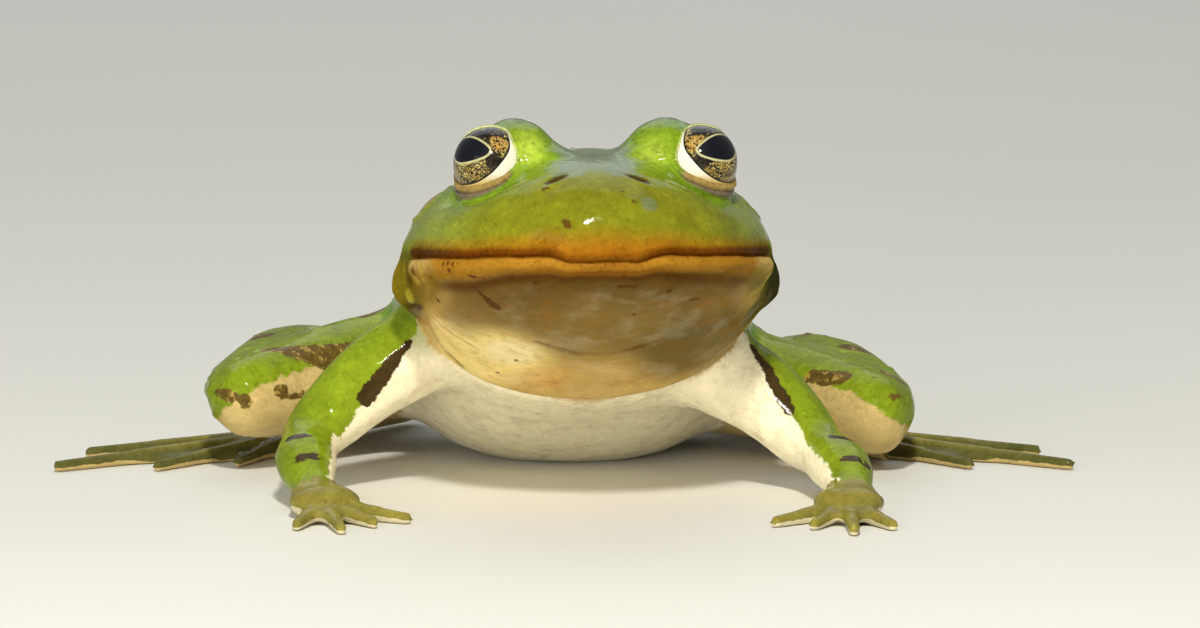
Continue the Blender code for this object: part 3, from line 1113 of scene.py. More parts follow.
FACE_DIRT_AND_SHADE = (
    mark(0.24, 0.24, (-17.6, -18.2, -0.7)),
    mark(0.3, 0.3, (-17.1, -19.1, -0.7)),
    mark(0.34, 0.34, (-16.9, -19.2, -1.3)),
    mark(0.22, 0.22, (-16.5, -19.8, -0.9)),
    mark(0.14, 0.14, (-15.7, -20.4, -0.8)),
    mark(0.26, 0.34, (-14.7, -21.4, -1.6), (-14.0, -21.9, -1.8)),
    mark(0.2, 0.2, (-13.3, -22.4, -2.2)),
    mark(0.12, 0.12, (-12.4, -23.0, -1.4)),
    mark(0.12, 0.12, (-9.8, -24.6, -1.2)),
    mark(0.3, 0.3, (-18.2, -12.6, -4.9)),
    mark(0.28, 0.28, (-8.7, -6.3, -12.1)),
    mark(0.28, 0.28, (-10.8, -0.4, -13.5)),
    mark(0.26, 0.26, (14.1, -11.0, -8.6)),
    mark(0.3, 0.3, (4.4, -20.6, -6.8)),
    mark(0.44, 0.3, (-4.0, -29.2, 4.0), (-3.6, -29.4, 3.3)),
    mark(0.3, 0.2, (-6.4, -24.9, 7.7), (-5.9, -25.1, 7.9)),
    mark(0.24, 0.2, (-7.6, -25.8, -3.2)),
    mark(0.24, 0.2, (2.4, -26.4, -3.5), (4.2, -26.2, -3.6)),
    mark(0.3, 0.3, (8.4, -24.2, -4.1)),
    mark(0.26, 0.24, (11.2, -21.0, -5.0), (12.0, -20.4, -4.9)),
    mark(0.12, 0.2, (-15.4, -19.7, -3.1), (-13.7, -20.0, -4.2)),
    mark(0.24, 0.72, (-13.7, -20.0, -4.2), (-12.7, -19.8, -4.9), (-11.7, -19.2, -5.7)),
    mark(0.3, 0.3, (3.8, -28.0, 6.2)),
    mark(0.2, 0.2, (2.8, -27.0, 7.9)),
    # Painted shade: the dark wedge in the right corner of the mouth.
    mark(0.55, 0.3, (-21.1, -9.4, 0.45), (-20.3, -12.0, 1.0)),
)

# Painted light and shade on the throat: pale lit patches on the frog's right and lower throat, painted
# shade on its left.
THROAT_LIGHT_AND_SHADE = (  # from the throat's pale side to its dusky one
    Tint(srgb(255, 228, 144), (-12.0, -5.0, -11.4), (10.0, 16.0, 6.0), 0.95),
    Tint(srgb(255, 240, 184), (-9.5, -9.0, -11.2), (4.6, 8.0, 2.6), 0.7),
    Tint(srgb(232, 176, 96), (-5.2, -3.0, -14.4), (4.4, 8.0, 2.4), 0.5),
    Tint(srgb(98, 84, 40), (13.0, -7.0, -10.4), (11.0, 16.0, 8.4), 0.85),
    Tint(srgb(255, 226, 150), (-17.4, -7.4, -8.2), (3.0, 4.6, 1.9), 0.85),
)

CORNER_TINTS_LIGHT_AND_SHADE = (
    # The right corner of the mouth and the vocal sac behind it: the sac painted lighter as painted light,
    # and painted shade in the crease under the lobes
    Tint(srgb(136, 106, 30), (-19.2, -10.0, -3.0), (3.4, 8.5, 3.6), 0.85),
    Tint(srgb(136, 118, 22), (-22.6, -2.0, -2.6), (1.7, 6.0, 4.6), 0.85),
    Tint(srgb(166, 154, 44), (-21.1, -4.6, -4.4), (0.9, 2.2, 1.3), 0.8),
    Tint(srgb(112, 70, 18), (-20.8, -10.0, -1.5), (0.7, 1.4, 0.9), 0.7),
    Tint(srgb(196, 160, 70), (-19.9, -12.8, -1.2), (0.8, 1.7, 1.0), 0.7),
    Tint(srgb(190, 158, 64), (-20.6, -9.6, -2.7), (0.7, 1.5, 0.9), 0.75),
    Tint(srgb(78, 62, 14), (-21.4, -6.9, -2.4), (0.8, 1.3, 2.0), 0.8),
    Tint(srgb(150, 122, 46), (-19.3, -12.4, -3.8), (1.4, 3.0, 1.0), 0.7),
    Tint(srgb(74, 52, 18), (-20.6, -4.4, -5.7), (1.9, 4.6, 0.65), 0.9),
    Tint(srgb(122, 106, 84), (-20.4, -3.0, -6.5), (1.2, 3.0, 0.9), 0.6),
    # The left corner of the mouth and the vocal sac behind it: the sac and the fold under it painted dark
    # as painted shade, and a painted shadow under the lower lip
    Tint(srgb(134, 116, 44), (19.3, -11.6, -3.0), (2.6, 6.5, 2.8), 0.85),
    Tint(srgb(50, 50, 14), (22.2, -2.6, -2.8), (2.6, 6.6, 6.4), 0.95),
    Tint(srgb(60, 64, 26), (19.6, -5.6, -7.2), (2.2, 5.0, 3.4), 0.9),
    Tint(srgb(120, 84, 28), (15.5, -19.0, -2.2), (6.0, 7.0, 1.6), 0.5),
    # The lower lip's darker middle
    Tint(srgb(128, 80, 20), (0.8, -28.2, -1.4), (7.0, 4.0, 1.5), 0.55),
)

BODY_MARKS = (  # as they lie, in the body's frame
    mark(0.35, 0.95, (-20.7, -14.0, 18.0), (-22.2, -14.6, 16.3), (-23.9, -15.3, 14.1)),
    mark(1.0, 1.15, (-23.9, -15.3, 14.1), (-25.9, -15.8, 11.7)),
    mark(0.35, 0.8, (19.9, -12.8, 17.3), (21.3, -15.3, 15.2), (22.7, -17.4, 12.5)),
    mark(0.8, 0.75, (22.7, -17.4, 12.5), (24.0, -18.7, 10.3)),
    mark(0.8, 2.5, (-37.0, 6.4, 14.4), (-33.4, 6.0, 13.9), (-29.8, 7.4, 13.2), (-26.0, 9.0, 13.0)),
    mark(1.0, 1.0, (-35.5, 0.9, 9.9)),
    mark(0.9, 0.9, (-39.7, -1.1, 9.3)),
    mark(0.5, 0.8, (-44.0, 1.6, 10.3), (-41.5, -0.8, 9.8)),
    mark(0.5, 0.6, (-33.0, 2.6, 9.4), (-30.6, 4.6, 9.6)),
    mark(1.2, 1.3, (28.0, 2.6, 11.6), (31.7, 0.4, 11.6)),
    mark(1.3, 0.6, (38.0, 2.4, 12.2), (41.4, 3.4, 10.6)),
    mark(0.4, 0.4, (37.4, -3.5, 9.5), (40.2, -2.0, 9.0)),
    mark(1.6, 1.2, (-24.5, 20.0, 17.5), (-20.5, 23.0, 18.0)),
    mark(1.6, 1.2, (24.0, 20.0, 15.5), (20.0, 24.0, 16.0)),
    mark(1.2, 1.2, (-17.0, 31.0, 17.5), (-14.5, 30.0, 18.0)),
    mark(1.2, 1.2, (16.5, 31.0, 15.5), (14.0, 30.5, 16.0)),
    mark(1.2, 1.5, (-42.0, 16.0, 12.5), (-37.0, 17.0, 15.6)),
    mark(1.2, 1.4, (-36.0, 27.0, 12.5), (-31.0, 27.5, 14.0)),
    mark(1.0, 1.2, (-28.0, 37.0, 10.5), (-24.0, 37.0, 11.5)),
    mark(1.2, 1.5, (38.5, 13.0, 11.5), (34.0, 14.5, 14.0)),
    mark(1.2, 1.4, (33.5, 24.0, 12.0), (29.0, 25.0, 13.0)),
    mark(1.0, 1.2, (27.0, 34.0, 10.0), (23.0, 35.0, 11.0)),
    mark(0.9, 1.0, (-35.5, -22.0, 8.0), (-33.0, -22.5, 9.4)),
    mark(0.7, 0.8, (-34.5, -27.5, 5.8), (-32.0, -27.5, 6.6)),
    mark(0.9, 1.0, (31.5, -25.0, 8.2), (29.0, -25.0, 8.4)),
    mark(0.7, 0.8, (32.5, -31.5, 5.0), (30.0, -31.5, 5.6)),
)

# Across and up, where each arm's green ends toward the chest, from the shoulder down
ARM_BORDERS = {
    Side.RIGHT: ((18.0, 23.0), (19.6, 20.0), (20.5, 18.0), (23.6, 14.1), (25.6, 11.7), (31.0, 4.0)),
    Side.LEFT: ((17.4, 22.0), (19.0, 19.0), (19.9, 17.3), (22.6, 12.5), (24.0, 10.3), (28.0, 4.0)),
}

BACK_SPOTS = (  # across, back and half width, seen from above
    (-6.2, -6.0, 1.5), (5.4, -3.0, 1.3), (-9.6, 3.5, 1.9), (8.8, 5.5, 1.7), (-4.4, 10.5, 1.4),
    (4.2, 14.0, 1.6), (-10.6, 14.5, 1.8), (11.0, 16.5, 1.9), (-6.2, 20.5, 1.7), (5.6, 24.0, 1.4),
    (-8.6, 28.0, 1.6), (7.8, 31.5, 1.5), (-3.6, 33.0, 1.2), (3.2, 38.5, 1.0), (-18.6, 8.0, 1.4),
    (18.8, 10.0, 1.5), (-18.2, 18.0, 1.6), (17.4, 22.0, 1.4), (-14.0, 26.5, 1.3),
    (-20.0, -1.0, 1.1), (20.0, 2.0, 1.1),
)


@dataclass
class Skin:
    """One skin over all the flesh: fused from the solids, softened at the joints, then sculpted."""

    frames: Frames
    finish: SkinFinish = field(default_factory=SkinFinish)
    voxel: float = 0.5
    grow: float = 0.2  # closes the thin cuts between the solids, and is taken off again
    body_share: float = 0.27  # how many of the body's faces are kept
    flesh: tuple[str, ...] = ("head", "lower_jaw", "trunk")
    paired: tuple[str, ...] = (
        "eardrum", "upper_arm", "forearm", "hand", "thigh", "shank", "foot",
    )
    socket_depth: float = 1.2  # how far the cheek sinks in front of the eye
    inner_depth: float = 1.0  # how much farther it sinks toward the snout
    lip_dip: float = 0.75  # how far the mouth line hangs under the snout
    lip_dip_middle: float = 0.4  # where that is deepest
    lip_dip_reach: float = 5.4  # how far to each side it reaches
    lip_dip_edge: float = 1.7  # how softly it ends
    eardrum: Triple = (18.2, -1.8, 6.4)
    eardrum_radius: float = 2.9
    side_folds: Path = (
        (12.6, -13.0), (15.0, -4.0), (16.4, 8.0), (15.4, 20.0), (12.0, 31.0), (7.6, 40.0),
    )
    wart_count: int = 220
    wart_seed: int = 11
    joint_rounds: int = 45  # how long the joints relax
    foot_rounds: tuple[int, int] = (70, 40)  # how long the brow's foot relaxes, first and later
    edge_rounds: int = 30  # how long the edge of the legs' green relaxes

    # Read from the mesh as it is worked on: one row or number a point, unless said otherwise
    mesh: bpy.types.Mesh = field(init=False)
    names: list[str] = field(init=False)  # the solids
    points: Array = field(init=False)
    normals: Array = field(init=False)
    edges: Array = field(init=False)  # two points an edge
    links: Array = field(init=False)  # how many edges meet
    head: Array = field(init=False)  # the points in the head's frame
    outward: Array = field(init=False)  # the same with x turned outward
    body: Array = field(init=False)  # the points in the body's frame
    owner: Array = field(init=False)  # the solid's place in names
    seam: Array = field(init=False)  # how far the next solid is
    drum: Array = field(init=False)  # how far the eardrum's middle is
    fold: Array = field(init=False)  # how far the side fold is

    def build(self) -> bpy.types.Object:
        """Makes the skin.

        Returns:
            The piece.
        """
        names = list(self.flesh)
        names += [side.named(part) for part in self.paired for side in Side]
        piece = self.fused(names)
        self.thinned(piece)
        self.refined(piece)
        LOG.info("skin: %d faces before sculpting", len(piece.data.polygons))
        self.read(piece)
        self.locate(names)
        self.soften_joints()
        self.sculpt()
        self.paint()
        piece.data.materials.append(self.finish.material())
        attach(piece, "root")
        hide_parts(*names)
        return piece

    # -------- the base form

    def fused(self, names: list[str]) -> bpy.types.Object:
        """One closed form over the named solids.

        Args:
            names: The solids.

        Returns:
            The new piece.
        """
        whole = bmesh.new()
        for name in names:
            part = bmesh.new()
            part.from_mesh(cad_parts[name].data)
            bmesh.ops.remove_doubles(part, verts=part.verts, dist=1e-6)
            part.normal_update()
            moves = [(v, v.normal * (self.grow * MM)) for v in part.verts]
            for vert, move in moves:
                vert.co += move
            self.add(whole, part)
        for centre in self.frames.eyes.values():
            ball = bmesh.new()
            place = Matrix.Translation(Vector(centre) * MM)
            radius = (self.frames.eye_radius + 0.3) * MM
            bmesh.ops.create_icosphere(ball, subdivisions=4, radius=radius, matrix=place)
            self.add(whole, ball)
        mesh = bpy.data.meshes.new("skin")
        whole.to_mesh(mesh)
        whole.free()
        piece = placed("skin", mesh)
        remesh = piece.modifiers.new("fuse", "REMESH")
        remesh.mode = "VOXEL"
        remesh.voxel_size = self.voxel * MM
        remesh.use_smooth_shade = True
        soften = piece.modifiers.new("soften", "SMOOTH")
        soften.factor = 0.5
        soften.iterations = 4
        return self.applied(piece)

    def add(self, whole: bmesh.types.BMesh, part: bmesh.types.BMesh) -> None:
        """Adds one mesh to another and frees it.

        Args:
            whole: The mesh that grows.
            part: The mesh that is added.
        """
        mesh = bpy.data.meshes.new("part")
        part.to_mesh(mesh)
        part.free()
        whole.from_mesh(mesh)
        bpy.data.meshes.remove(mesh)

    def applied(self, piece: bpy.types.Object) -> bpy.types.Object:
        """Applies a piece's modifiers.

        Args:
            piece: The piece.

        Returns:
            The same piece.
        """
        graph = bpy.context.evaluated_depsgraph_get()
        graph.update()
        made = bpy.data.meshes.new_from_object(piece.evaluated_get(graph))
        piece.modifiers.clear()
        old = piece.data
        piece.data = made
        made.name = "skin"
        bpy.data.meshes.remove(old)
        return piece

    def head_points(self, mesh: bpy.types.Mesh) -> Array:
        """A mesh's points in the head's frame.

        Args:
            mesh: The mesh.

        Returns:
            Rows in millimetres.
        """
        return self.frames.to_head(read_rows(mesh.vertices, "co", 3, float) / MM)

    def thinned(self, piece: bpy.types.Object) -> None:
        """Takes faces off the body, and leaves the head as fine as it is.

        Args:
            piece: The skin.
        """
        head = self.head_points(piece.data)
        off_head = smoothstep(5.0, 9.0, head[:, 1]) + smoothstep(-15.0, -19.0, head[:, 2])
        group = piece.vertex_groups.new(name="thin")
        weights = np.clip(off_head, 0, 1)
        for level in range(1, 11):
            picked = np.nonzero(np.round(weights * 10) == level)[0]
            if len(picked):
                group.add(picked.tolist(), level / 10, "REPLACE")
        thin = piece.modifiers.new("thin", "DECIMATE")
        thin.ratio = 1 - (1 - self.body_share) * float(weights.mean())
        thin.vertex_group = "thin"
        thin.vertex_group_factor = 10.0
        self.applied(piece)
        piece.vertex_groups.clear()

    def refined(self, piece: bpy.types.Object) -> None:
        """Cuts the faces finer along the mouth, the lids and the nostrils.

        Args:
            piece: The skin.
        """
        for reach in (1.0, 0.6):
            bm = bmesh.new()
            bm.from_mesh(piece.data)
            points = self.head_points(piece.data)
            wanted = self.fine_zone(points, reach)
            edges = [e for e in bm.edges if wanted[e.verts[0].index] and wanted[e.verts[1].index]]
            bmesh.ops.subdivide_edges(bm, edges=edges, cuts=1, use_grid_fill=True, smooth=0.0)
            bm.to_mesh(piece.data)
            bm.free()

    def fine_zone(self, head: Array, reach: float) -> Array:
        """Which points lie where the skin has its finest shapes.

        Args:
            head: Points in the head's frame.
            reach: How wide the zones are, as a share.

        Returns:
            True for each point that does.
        """
        height = head[:, 2] - self.mouth_line(head)
        skull = (head[:, 1] < -2.0) & (np.abs(head[:, 0]) < 23.5)
        zone = skull & (height > -2.6 * reach) & (height < 1.9 * reach)
        outward = np.column_stack((np.abs(head[:, 0]), head[:, 1:]))
        if reach == 1.0:
            zone |= skull & (outward[:, 0] > 16.5) & (height < 0.0) & (head[:, 2] > -7.6)
        nostril, _ = path_distance(outward, NOSTRIL)
        zone |= nostril < 2.2 * reach
        for side in Side:
            socket = self.socket(side)
            rays = head - socket.centre
            length = np.linalg.norm(rays, axis=1)
            near = np.nonzero(length < socket.radius + 3.5)[0]
            lid, _ = socket.lid_distance(rays[near] / np.maximum(length[near], 1e-6)[:, None])
            away = socket.skin_distance(rays[near])
            shell = length[near] < socket.radius + 2.0
            wanted = (away < 2.6 * reach) | (shell & (lid > -1.0 * reach) & (lid < 2.2 * reach))
            zone[near[wanted]] = True
        return zone

    def socket(self, side: Side) -> EyeSocket:
        """The eye socket of one side."""
        centre = self.frames.to_head(self.frames.eyes[side][None])[0]
        return EyeSocket(side, centre, self.frames.eye_radius)

    # -------- arrays to work on

    def read(self, piece: bpy.types.Object) -> None:
        """Keeps the skin's points, edges and normals as arrays.

        Args:
            piece: The skin.
        """
        self.mesh = piece.data
        self.load()
        self.points -= self.normals * self.grow
        self.refresh()

    def load(self) -> None:
        """Reads the mesh's points and edges."""
        self.points = read_rows(self.mesh.vertices, "co", 3, float) / MM
        self.edges = read_rows(self.mesh.edges, "vertices", 2, np.int32)
        self.links = np.bincount(self.edges.ravel(), minlength=len(self.points))
        self.refresh()

    def refresh(self) -> None:
        """Writes the points back and reads the normals and frames again."""
        self.mesh.vertices.foreach_set("co", (self.points * MM).ravel())
        self.mesh.update()
        self.normals = read_rows(self.mesh.vertex_normals, "vector", 3, np.float32).astype(float)
        self.head = self.frames.to_head(self.points)
        self.outward = np.column_stack((np.abs(self.head[:, 0]), self.head[:, 1:]))
        self.body = self.frames.to_body(self.points)

    def averaged(self, values: Array) -> Array:
        """Each point's values, averaged over its neighbours.

        Args:
            values: Rows of numbers, or one number a point.

        Returns:
            The averages.
        """
        a, b = self.edges.T
        columns = values.reshape(len(values), -1)
        count = np.maximum(self.links, 1)
        result = np.empty_like(columns)
        for k in range(columns.shape[1]):
            column = columns[:, k]
            total = np.bincount(a, column[b], len(column)) + np.bincount(b, column[a], len(column))
            result[:, k] = total / count
        return result.reshape(values.shape)

    def smoothed(self, weights: Array, rounds: int) -> None:
        """Relaxes the skin.

        Args:
            weights: How much each point moves, 0 to 1.
            rounds: How often.
        """
        share = 0.5 * weights[:, None]
        for _ in range(rounds):
            self.points += share * (self.averaged(self.points) - self.points)

    def locate(self, names: list[str]) -> None:
        """Finds the solid that each point belongs to, and how near the next one is.

        Args:
            names: The solids.
        """
        corners, faces, owners = [], [], []
        for owner, name in enumerate(names):
            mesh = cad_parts[name].data
            start = len(corners)
            corners += [v.co / MM for v in mesh.vertices]
            faces += [[start + i for i in p.vertices] for p in mesh.polygons]
            owners += [owner] * len(mesh.polygons)
        tree = BVHTree.FromPolygons(corners, faces)
        self.names = names
        self.owner = np.array([owners[tree.find_nearest(p)[2]] for p in self.points])
        a, b = self.edges.T
        borders = self.owner[a] != self.owner[b]
        loose = [k for k, n in enumerate(names) if n.startswith("eardrum")]
        mouth = {names.index("head"), names.index("lower_jaw")}
        left = []
        for i, j in self.edges[borders]:
            pair = {int(self.owner[i]), int(self.owner[j])}
            if pair != mouth and not pair & set(loose):
                left.append(i)
        seams = KDTree(len(left))
        for k, i in enumerate(left):
            seams.insert(self.points[i], k)
        seams.balance()
        self.seam = np.array([seams.find(p)[2] for p in self.points])

    def on(self, *parts: str) -> Array:
        """True for the points that belong to solids whose names start so."""
        picked = [k for k, name in enumerate(self.names) if name.startswith(parts)]
        return np.isin(self.owner, picked)

    # -------- sculpting

    def soften_joints(self) -> None:
        """Lets the limbs, trunk and head grow out of each other without a crease."""
        weights = smoothstep(4.2, 1.2, self.seam)
        weights[self.on("hand", "foot")] *= 0.35
        weights *= smoothstep(4.4, 5.6, self.head[:, 1]) + ~self.on("head", "lower_jaw")
        weights = np.clip(weights, 0, 1)
        self.smoothed(weights, self.joint_rounds)
        body = np.where(self.on("trunk", "upper_arm", "thigh", "shank", "forearm"), 1.0, 0.0)
        self.smoothed(body * 0.8, 6)
        self.smoothed(np.full(len(self.points), 0.5), 2)
        self.soften_brow_foot(self.foot_rounds[0])

    def soften_brow_foot(self, rounds: int) -> None:
        """Leads the foot of each brow into the snout without a crease.

        Args:
            rounds: How often the skin relaxes there.
        """
        foot = bell(spread(self.outward, (6.5, -17.5, 9.6), (0.8, 0.8, 1.3)), 0.0, 4.6)
        eye = spread(self.outward, EYE_SPOT) - self.frames.eye_radius
        nostril, _ = path_distance(self.outward, NOSTRIL)
        free = smoothstep(0.4, 1.6, eye) * smoothstep(0.8, 1.8, nostril)
        self.smoothed(foot * free * self.on("head"), rounds)
        self.refresh()

    def mouth_line(self, head: Array) -> Array:
        """The mouth's height along the head, which dips under the snout.

        Args:
            head: Points in the head's frame.

        Returns:
            The height at each point.
        """
        reach, soft = self.lip_dip_reach, self.lip_dip_edge
        dip = smoothstep(reach + soft, reach - soft, np.abs(head[:, 0] - self.lip_dip_middle))
        sway = 0.05 * np.sin(head[:, 0] * 0.9) + 0.03 * np.sin(head[:, 0] * 2.3 + 1.0)
        return 0.1 + sway - self.lip_dip * dip * (head[:, 1] < -12)

    def lip_height(self) -> Array:
        """How far each point lies above the mouth line.

        Returns:
            Millimetres above it; below it, thicknesses of the lower lip.
        """
        height = self.head[:, 2] - self.mouth_line(self.head)
        x = self.head[:, 0]
        thick = 1.12 - 0.32 * bell(x, 0.6, 5.5) + 0.05 * np.sin(x * 0.8 + 0.5)
        thick = thick + 0.16 * smoothstep(8.0, 16.0, x) + 0.42 * smoothstep(-7.0, -16.0, x)
        return np.where(height < 0, height / thick, height)

    def sculpt(self) -> None:
        """Shapes the mouth, the lids and all the folds."""
        self.shape_mouth()
        self.draw(HEAD_STROKES, self.outward)
        self.draw(FACE_STROKES, self.head)
        self.shape_throat()
        self.shape_eardrums()
        self.shape_back()
        self.refresh()
        for side in Side:
            self.ready_lids(self.socket(side))
        self.soften_brow_foot(self.foot_rounds[1])
        for side in Side:
            self.open_lids(self.socket(side))
        self.split_long_edges()
        for side in Side:
            self.open_lids(self.socket(side))
            self.finish_lids(self.socket(side))
        low = self.points[:, 2] < 0.0
        self.points[low, 2] = 0.0
        self.refresh()

    def shape_mouth(self) -> None:
        """Rolls the upper lip over the lower one, with a groove between them."""
        height = self.lip_height()
        ends = smoothstep(-6.0, -9.0, self.head[:, 1]) * self.on("head", "lower_jaw", "eardrum")
        front = smoothstep(-12.0, -22.0, self.head[:, 1])
        upper = (0.2 + 0.12 * front) * bell(height, 0.75, 0.55) * (height > -0.1)
        groove = -0.44 * bell(height, -0.02, 0.16)
        lower = 0.46 * bell(height, -0.85, 0.6)
        under = -0.62 * bell(height, -2.35, 0.75) * (0.5 + 0.5 * front)
        self.push(ends * (upper + groove + lower + under))
        self.refresh()

    def push(self, move: Array) -> None:
        """Moves each point out along its normal."""
        self.points += self.normals * move[:, None]

    def draw(self, strokes: tuple[Stroke, ...], points: Array) -> None:
        """Draws ridges and grooves.

        Args:
            strokes: The strokes.
            points: The skin's points, in the frame that the strokes are in.
        """
        for stroke in strokes:
            distance, along = path_distance(points, stroke.path)
            ends = 1.0 if len(stroke.path) < 3 else 0.3 + 0.7 * np.sin(np.pi * along)
            self.push(stroke.shape.value * stroke.depth * ends * bell(distance, 0.0, stroke.width))
        self.refresh()

    def shape_throat(self) -> None:
        """Sets the throat pouch off from the chest with a fold."""
        x, y, z = self.head.T
        low = smoothstep(-5.0, -9.0, z) * smoothstep(20.0, 16.5, np.abs(x))
        fold = -0.75 * bell(y, 5.3, 0.75) + 0.4 * bell(y, 3.2, 1.5)
        low = low * self.on("lower_jaw", "trunk")
        self.push(low * fold)
        self.refresh()

    def shape_eardrums(self) -> None:
        """Gives each eardrum a raised rim and a sunken skin."""
        distance = spread(self.outward, self.eardrum)
        near = distance < self.eardrum_radius + 2.0
        rim = 0.24 * bell(distance, self.eardrum_radius, 0.42)
        sunk = -0.16 * smoothstep(self.eardrum_radius, self.eardrum_radius - 0.9, distance)
        knob = 0.14 * bell(distance, 0.0, 0.8)
        self.push((rim + sunk + knob) * near)
        self.drum = distance
        self.refresh()

    def shape_back(self) -> None:
        """Raises the folds along the back and scatters warts."""
        top = self.on("trunk", "head") & (self.normals[:, 2] > 0.15)
        flat = np.column_stack((np.abs(self.body[:, 0]), self.body[:, 1]))
        self.fold, along = path_distance(flat, self.side_folds)
        ends = np.sin(np.pi * np.clip(along * 0.9 + 0.1, 0, 1)) ** 0.5
        self.push(top * 0.62 * ends * bell(self.fold, 0, 0.95))
        chosen = np.random.default_rng(self.wart_seed)
        where = np.nonzero(self.on("trunk", "thigh", "shank") & (self.body[:, 2] > 7.0))[0]
        spots = self.points[chosen.choice(where, self.wart_count, replace=False)]
        sizes = chosen.uniform(0.35, 0.75, self.wart_count)
        tree = KDTree(len(self.points))
        for k, point in enumerate(self.points):
            tree.insert(point, k)
        tree.balance()
        lift = np.zeros(len(self.points))
        for spot, size in zip(spots, sizes):
            for _, k, distance in tree.find_range(spot, size * 2.2):
                lift[k] = max(lift[k], 0.42 * size * math.exp(-((distance / size) ** 2)))
        self.push(lift)
        self.refresh()

    def ready_lids(self, socket: EyeSocket) -> None:
        """Sinks the cheek in front of one eye and leads the brow into the upper lid.

        Args:
            socket: The eye.
        """
        near = self.near_eye(socket)
        rays = self.head[near] - socket.centre
        length = np.linalg.norm(rays, axis=1)
        lid, turn = socket.lid_distance(rays / length[:, None])
        low_side = socket.low_side(turn)
        # The cheek sinks a little in front of the eye.
        close = smoothstep(socket.radius + 5.2, socket.radius + 0.6, length)
        facing = smoothstep(-0.4, 0.3, rays @ socket.direction(25, -10) / length)
        outward = rays[:, 0] * socket.side.value
        depth = self.socket_depth + self.inner_depth * smoothstep(3.2, 0.6, outward)
        self.head[near, 2] -= depth * close * facing * smoothstep(-0.4, -2.2, rays[:, 2])
        # The brow flows into the upper lid.
        fill = smoothstep(-0.2, 0.8, lid) * smoothstep(6.0, 4.0, lid) * (1 - 0.8 * low_side)
        for _ in range(70):
            pulled = self.averaged(self.head)[near]
            pulled = self.head[near] + fill[:, None] * (pulled - self.head[near])
            reach = np.linalg.norm(pulled - socket.centre, axis=1)
            out = reach > np.linalg.norm(self.head[near] - socket.centre, axis=1)
            self.head[near[out]] = pulled[out]
        self.points[near] = self.frames.from_head(self.head[near])
        self.refresh()

    def near_eye(self, socket: EyeSocket) -> Array:
        """Which points lie near one eyeball.

        Args:
            socket: The eye.

        Returns:
            Their places in the arrays.
        """
        length = np.linalg.norm(self.head - socket.centre, axis=1)
        return np.nonzero(length < socket.radius + 5.5)[0]

    def open_lids(self, socket: EyeSocket) -> None:
        """Opens the skin over one eyeball.

        Args:
            socket: The eye.
        """
        near = self.near_eye(socket)
        rays = self.head[near] - socket.centre
        length = np.linalg.norm(rays, axis=1)
        rays = rays / length[:, None]
        lid, turn = socket.lid_distance(rays)
        low_side = socket.low_side(turn)
        depth = length - socket.radius
        outside = np.maximum(lid, 0.0)
        least = socket.radius + 0.1 + (0.08 + 0.18 * low_side) * (1 - np.exp(-outside / 0.3))
        most = socket.radius + 0.22 + (1.5 + 3.0 * low_side) * outside
        fitted = np.clip(length, least, np.maximum(most, least))
        keep = np.maximum(smoothstep(1.8, 3.0, outside), low_side * smoothstep(0.6, 1.3, depth))
        fitted = fitted * (1 - keep) + length * keep
        shell = 1 - low_side * smoothstep(0.5, 1.3, depth)
        fitted = np.where(lid < 0, length, fitted)
        dive = smoothstep(0.0, -0.24, lid) * shell
        fitted = fitted * (1 - dive) + (socket.radius - 1.0) * dive
        self.points[near] = self.frames.from_head(socket.centre + rays * fitted[:, None])
        self.refresh()

    def split_long_edges(self) -> None:
        """Cuts the edges that the lids have stretched, so that their bands stay crisp."""
        kept = {"owner": self.owner, "seam": self.seam, "drum": self.drum, "fold": self.fold}
        for name, values in kept.items():
            store(self.mesh, name, np.asarray(values, float))
        wanted = np.zeros(len(self.points), bool)
        for side in Side:
            socket = self.socket(side)
            near = self.near_eye(socket)
            wanted[near[socket.skin_distance(self.head[near] - socket.centre) < 3.6]] = True
        a, b = self.edges.T
        long = np.linalg.norm(self.points[a] - self.points[b], axis=1) > 0.3
        picked = set(np.nonzero(long & wanted[a] & wanted[b])[0].tolist())
        bm = bmesh.new()
        bm.from_mesh(self.mesh)
        edges = [edge for edge in bm.edges if edge.index in picked]
        bmesh.ops.subdivide_edges(bm, edges=edges, cuts=1, use_grid_fill=True, smooth=0.0)
        bmesh.ops.triangulate(bm, faces=[face for face in bm.faces if len(face.verts) > 4])
        bm.to_mesh(self.mesh)
        bm.free()
        self.load()
        for name in kept:
            values = read_rows(self.mesh.attributes[name].data, "value", 1, np.float32)
            kept[name] = values[:, 0].astype(float)
            self.mesh.attributes.remove(self.mesh.attributes[name])
        self.owner = np.round(kept["owner"]).astype(int)
        self.seam, self.drum, self.fold = kept["seam"], kept["drum"], kept["fold"]

    def finish_lids(self, socket: EyeSocket) -> None:
        """Settles the cheek against one eye's lower lid and rounds both lids.

        Args:
            socket: The eye.
        """
        near = self.near_eye(socket)
        offsets = self.head[near] - socket.centre
        rays = offsets / np.linalg.norm(offsets, axis=1)[:, None]
        low_side = socket.low_side(socket.lid_distance(rays)[1])
        away = self.lid_reach(socket, near)
        slack = low_side * smoothstep(0.3, 0.9, away) * smoothstep(5.0, 3.6, away)
        least = socket.radius + 0.12
        for _ in range(50):
            pulled = self.averaged(self.head)[near] - self.head[near]
            self.head[near] += 0.7 * slack[:, None] * pulled
            offsets = self.head[near] - socket.centre
            length = np.linalg.norm(offsets, axis=1)
            tight = (slack > 0) & (length < least)
            lifted = offsets[tight] * (least / length[tight])[:, None]
            self.head[near[tight]] = socket.centre + lifted
        self.points[near] = self.frames.from_head(self.head[near])
        self.refresh()
        away = self.lid_reach(socket, near)
        roll = 0.05 * bell(away, 0.2, 0.18)
        roll += low_side * (0.1 * bell(away, 0.34, 0.2) - 0.18 * bell(away, 0.66, 0.13))
        roll += low_side * (0.14 * bell(away, 1.05, 0.28) - 0.22 * bell(away, 1.6, 0.22))
        self.points[near] += self.normals[near] * (roll * (away > 0))[:, None]
        self.refresh()

